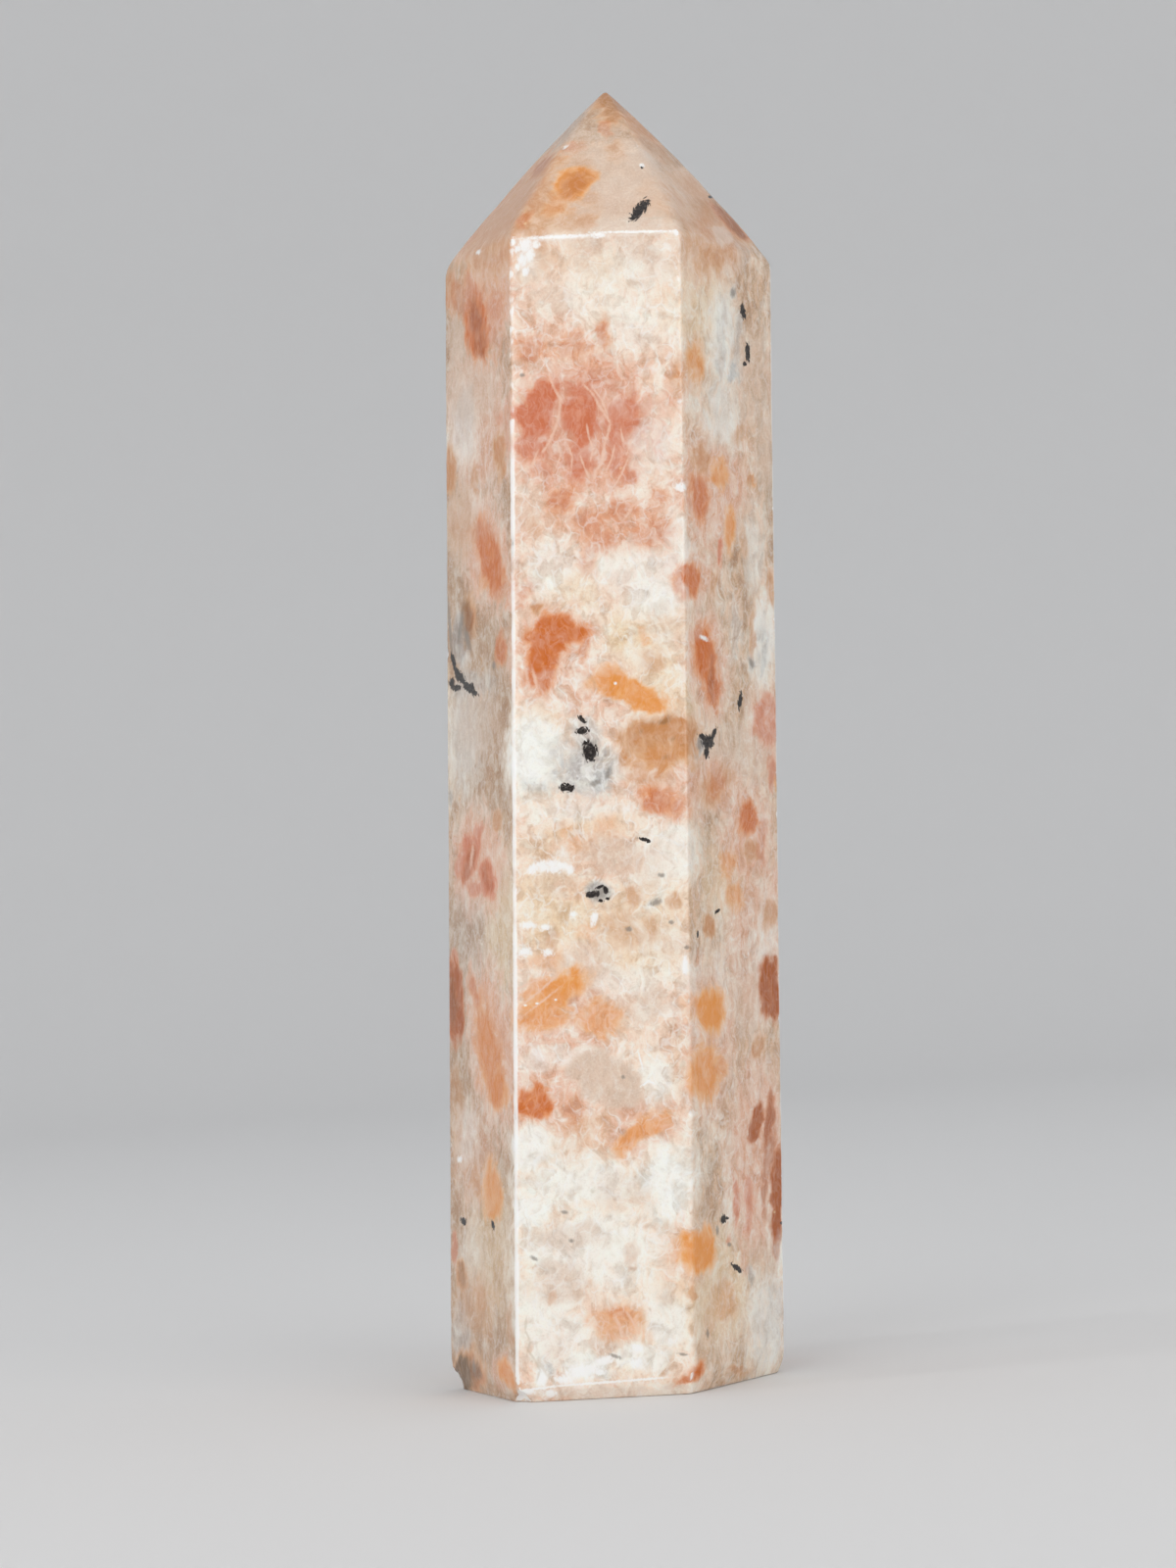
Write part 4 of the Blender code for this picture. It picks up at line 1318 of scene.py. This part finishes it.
# %% Places to measure the patterns at
LAYERING = (0.9, 1.5, 0.6)  # patterns are finest across the layers and drawn out from foot to shoulder
POINT_STARTS, POINT_FULL = 84.0, 88.0  # height in millimetres
POINT_SMOOTHER = 0.5

in_frame = add("TexCoord", {}).outputs["Object"]
place = calculate_vector("MULTIPLY", in_frame, (1 / MM, 1 / MM, 1 / MM))
rumpled = pushed(place, size=2.2, amount=2.0)
layered = calculate_vector("MULTIPLY", rumpled, LAYERING)
crumbled = pushed(layered, size=0.9, amount=1.1)
height = add("SeparateXYZ", {"Vector": place}).outputs["Z"]
on_body = less(rise(height, POINT_STARTS, POINT_FULL), POINT_SMOOTHER)
print("Nodes for the places:", len(tree.nodes))

# %% Pale ground
clouds = rise(lumps(place, size=8.0), 0.38, 0.62)
ground = blend(clouds, ROSE_WHITE, WARM_WHITE)
print("Nodes with the ground:", len(tree.nodes))

# %% Patches of colour
OUTLINE_RAGGED = 1.3  # how far noise moves the outline of a patch, as a share of its softness
HEART_MOTTLE = 1.3

ragged = calculate("SUBTRACT", lumps(layered, size=1.0, detail=4.0, roughness=0.6), 0.5)
ragged_outline = times(ragged, OUTLINE_RAGGED)
mottle = lumps(crumbled, size=0.8, detail=4.0, roughness=0.6)
heart_mottle = times(calculate("SUBTRACT", mottle, 0.5), HEART_MOTTLE)
colour = ground
stained = 0.0
milky = 0.0
quiet = 0.0
for kind, (rim, heart) in COLOURS.items():
    shape = value_at_points(kind)
    shape = calculate("ADD", shape, times(ragged_outline, rise(shape, 0.0, 0.25)))
    depth = calculate("ADD", shape, heart_mottle)
    patch_colour = blend(rise(depth, 0.30, 1.05), rim, heart)
    mask = times(rise(shape, 0.0, 0.80), value_at_points(kind + "_strength"))
    colour = blend(mask, colour, patch_colour)
    if kind in IRON_KINDS:
        stained = calculate("MAXIMUM", mask, stained)
    if kind in MILKY_KINDS:
        milky = calculate("MAXIMUM", mask, milky)
    if kind == "mist":
        quiet = mask
print("Nodes with the patches:", len(tree.nodes))

# %% [markdown]
# ## Crumbs, veins and glints
#
# Between the patches, feldspar is a mass of small clear and cloudy grains. A single noise looks like smoke,
# so four are laid over one another, from 1.3 mm down to 0.16 mm. One of them is a Voronoi texture, which
# has grains with an outline. Each of them lightens where it is high and darkens where it is low. The iron
# patches, the misty ones and the narrower sides get less, because the picture shows them calmer there.
# Bright rims between grains, a few veins and tiny glints of the iron plates come on top.

# %% Where the pale stone shows its crumbs
CALM_IRON = 0.85
CALM_MIST = 0.7
CALM_SIDES = 0.5

outside_iron = less(stained, CALM_IRON)
in_pale = times(times(on_body, outside_iron), less(quiet, CALM_MIST))
on_sides = rise(value_at_points("stain"), 0.2, 0.9)
in_pale = times(in_pale, less(on_sides, CALM_SIDES))
print("Nodes with the calm places:", len(tree.nodes))

# %% Pale crumbs and the darker gaps between them
gap_tint = blend(milky, WARM_GAP, MILKY_GAP)


def crumble(colour, value, amount):
    """Lightens a colour where a noise is high and darkens it where the noise is low."""
    colour = blend(times(rise(value, 0.50, 0.72), amount), colour, blend(0.6, colour, CREAM_WHITE))
    gap = add("Mix", {0: 1.0, 6: colour, 7: gap_tint}, data_type="RGBA", blend_type="MULTIPLY").outputs[2]
    return blend(times(rise(value, 0.50, 0.28), amount), colour, gap)


cells = add("TexVoronoi", {"Vector": crumbled, "Scale": 1.1, "Smoothness": 0.2}, feature="SMOOTH_F1")
cell_tone = times(cells.outputs["Color"], 0.45)
cell_tone = calculate("ADD", cell_tone, times(lumps(layered, size=0.5, detail=3.0), 0.55))
grain = lumps(place, size=0.16, detail=3.0, roughness=0.7)
colour = crumble(colour, lumps(rumpled, size=1.3, detail=2.5), times(in_pale, 0.9))
colour = crumble(colour, cell_tone, times(in_pale, 0.7))
colour = crumble(colour, lumps(layered, size=0.42, detail=3.0, roughness=0.6), times(in_pale, 0.4))
colour = crumble(colour, grain, times(outside_iron, 0.4))
print("Nodes with the crumbs:", len(tree.nodes))

# %% Veins, rims, threads and glints
VEINS = 0.3
RIMS = 0.45
THREADS = 0.10
GLINTS = 0.4

vein_places = times(rise(lumps(place, size=4.0), 0.46, 0.62), in_pale)
veins = times(line_in(lumps(layered, size=2.2, detail=4.0, roughness=0.6), 0.05), vein_places)
colour = blend(times(veins, VEINS), colour, CREAM_WHITE)

grained = pushed(layered, size=0.6, amount=0.5)
grains = add("TexVoronoi", {"Vector": grained, "Scale": 1.15}, feature="DISTANCE_TO_EDGE")
rims = opposite(rise(grains.outputs["Distance"], 0.0, 0.11))
rims = times(rims, rise(lumps(rumpled, size=0.9, detail=3.0), 0.40, 0.60))
colour = blend(times(times(rims, in_pale), RIMS), colour, PURE_WHITE)

drawn_out = calculate_vector("MULTIPLY", rumpled, (1.6, 1.6, 0.3))
colour = blend(times(line_in(lumps(drawn_out, size=1.2, detail=3.0), 0.06), THREADS), colour, WARM_WHITE)

flakes = add("TexVoronoi", {"Vector": place, "Scale": 4.5})
glints = times(rise(flakes.outputs["Color"], 0.95, 0.98), stained)
colour = blend(times(glints, GLINTS), colour, GLINT)
print("Nodes with the veins and glints:", len(tree.nodes))

# %% Small marks in the finish
SPLINTER = 0.3  # millimetres: dark crystals have straight-sided outlines, in steps of about this size
WEAR_AND_HIGHLIGHT_WHITE = 0.85

splinters = add("TexVoronoi", {"Vector": place, "Scale": 1 / SPLINTER})
from_splinter = calculate_vector("SUBTRACT", place, splinters.outputs["Position"])


def nearest_mark(kind, jagged):
    """How far outside the nearest mark of a kind a place is: below 1 inside it."""
    push = calculate_vector("MULTIPLY", from_splinter, (jagged, jagged, 0))
    nearest = OUTSIDE
    for name in (name for name in layers if name.startswith(kind)):
        inside = add("Attribute", {}, attribute_name=name).outputs["Vector"]
        length = add("VectorMath", {0: calculate_vector("ADD", inside, push)}, operation="LENGTH")
        nearest = calculate("MINIMUM", length.outputs["Value"], nearest)
    return nearest


def draw_marks(colour, kind, jagged, outside, inside, strength, paint):
    """Lays one kind of small mark over a colour, with an edge that fades from outside to inside."""
    return blend(times(rise(nearest_mark(kind, jagged), outside, inside), strength), colour, paint)


colour = draw_marks(colour, "feather", 2.0, 1.7, 0.2, 0.75, COLOURS["peach"][0])
# White flecks and painted highlights
colour = draw_marks(colour, "white", 1.8, 1.6, 0.5, 0.9, PURE_WHITE)
colour = draw_marks(colour, "crack", 1.0, 1.5, 0.4, 0.45, CRACK)
colour = draw_marks(colour, "faint", 1.2, 1.5, 0.4, 0.75, GREY)
dark_colour = blend(times(rise(grain, 0.50, 0.70), 0.4), BLACK, GREY)
colour = draw_marks(colour, "dark", 1.8, 1.25, 0.90, 1.0, dark_colour)
# Painted highlight and wear: the edges are painted white where they catch the lamps and where they are
# bruised
worn_and_highlit = rise(calculate("ADD", value_at_points("wear_and_highlight"), times(ragged, 0.6)), 0.22, 0.8)
colour = blend(times(worn_and_highlit, WEAR_AND_HIGHLIGHT_WHITE), colour, PURE_WHITE)
print("Nodes with the small marks:", len(tree.nodes))

# %% [markdown]
# ## Polish
#
# Polished feldspar is glassy but not a mirror: its grains take the polish unevenly, so the roughness
# follows the mottle, and a bruised edge is duller. A very fine bump breaks up the sharpest reflections.
# Light enters the stone a little way before it leaves again, and a weak subsurface gives the patches their
# soft depth.

# %% Polish
POLISH = 0.11  # roughness of the glassiest places
DULL_WEAR = 0.25
DULL_GRAINS = 0.10

tree.links.new(colour, shader.inputs["Base Color"])
dull = calculate("ADD", times(worn_and_highlit, DULL_WEAR), times(mottle, DULL_GRAINS))
tree.links.new(calculate("ADD", dull, POLISH), shader.inputs["Roughness"])
shader.inputs["IOR"].default_value = 1.54
shader.inputs["Subsurface Weight"].default_value = 0.10
shader.inputs["Subsurface Radius"].default_value = (1.0, 0.6, 0.4)
shader.inputs["Subsurface Scale"].default_value = 0.6 * MM
bump = add("Bump", {"Height": grain, "Strength": 0.25, "Distance": 0.012 * MM})
tree.links.new(bump.outputs[0], shader.inputs["Normal"])
mesh.materials.append(finish)
print("Nodes in the finish:", len(tree.nodes))

# %% [markdown]
# ## Sizes
#
# The dressed stone has to keep the solid's size, because the solid is what other parts will stand beside.
# Both boxes are kept in sizes, so that they can be compared.

# %% Sizes
sizes = {"cad": [list(c) for c in cad_box], "visual": [list(c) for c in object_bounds()]}
print("Dressed box", [[round(v / MM, 1) for v in corner] for corner in sizes["visual"]], "mm")
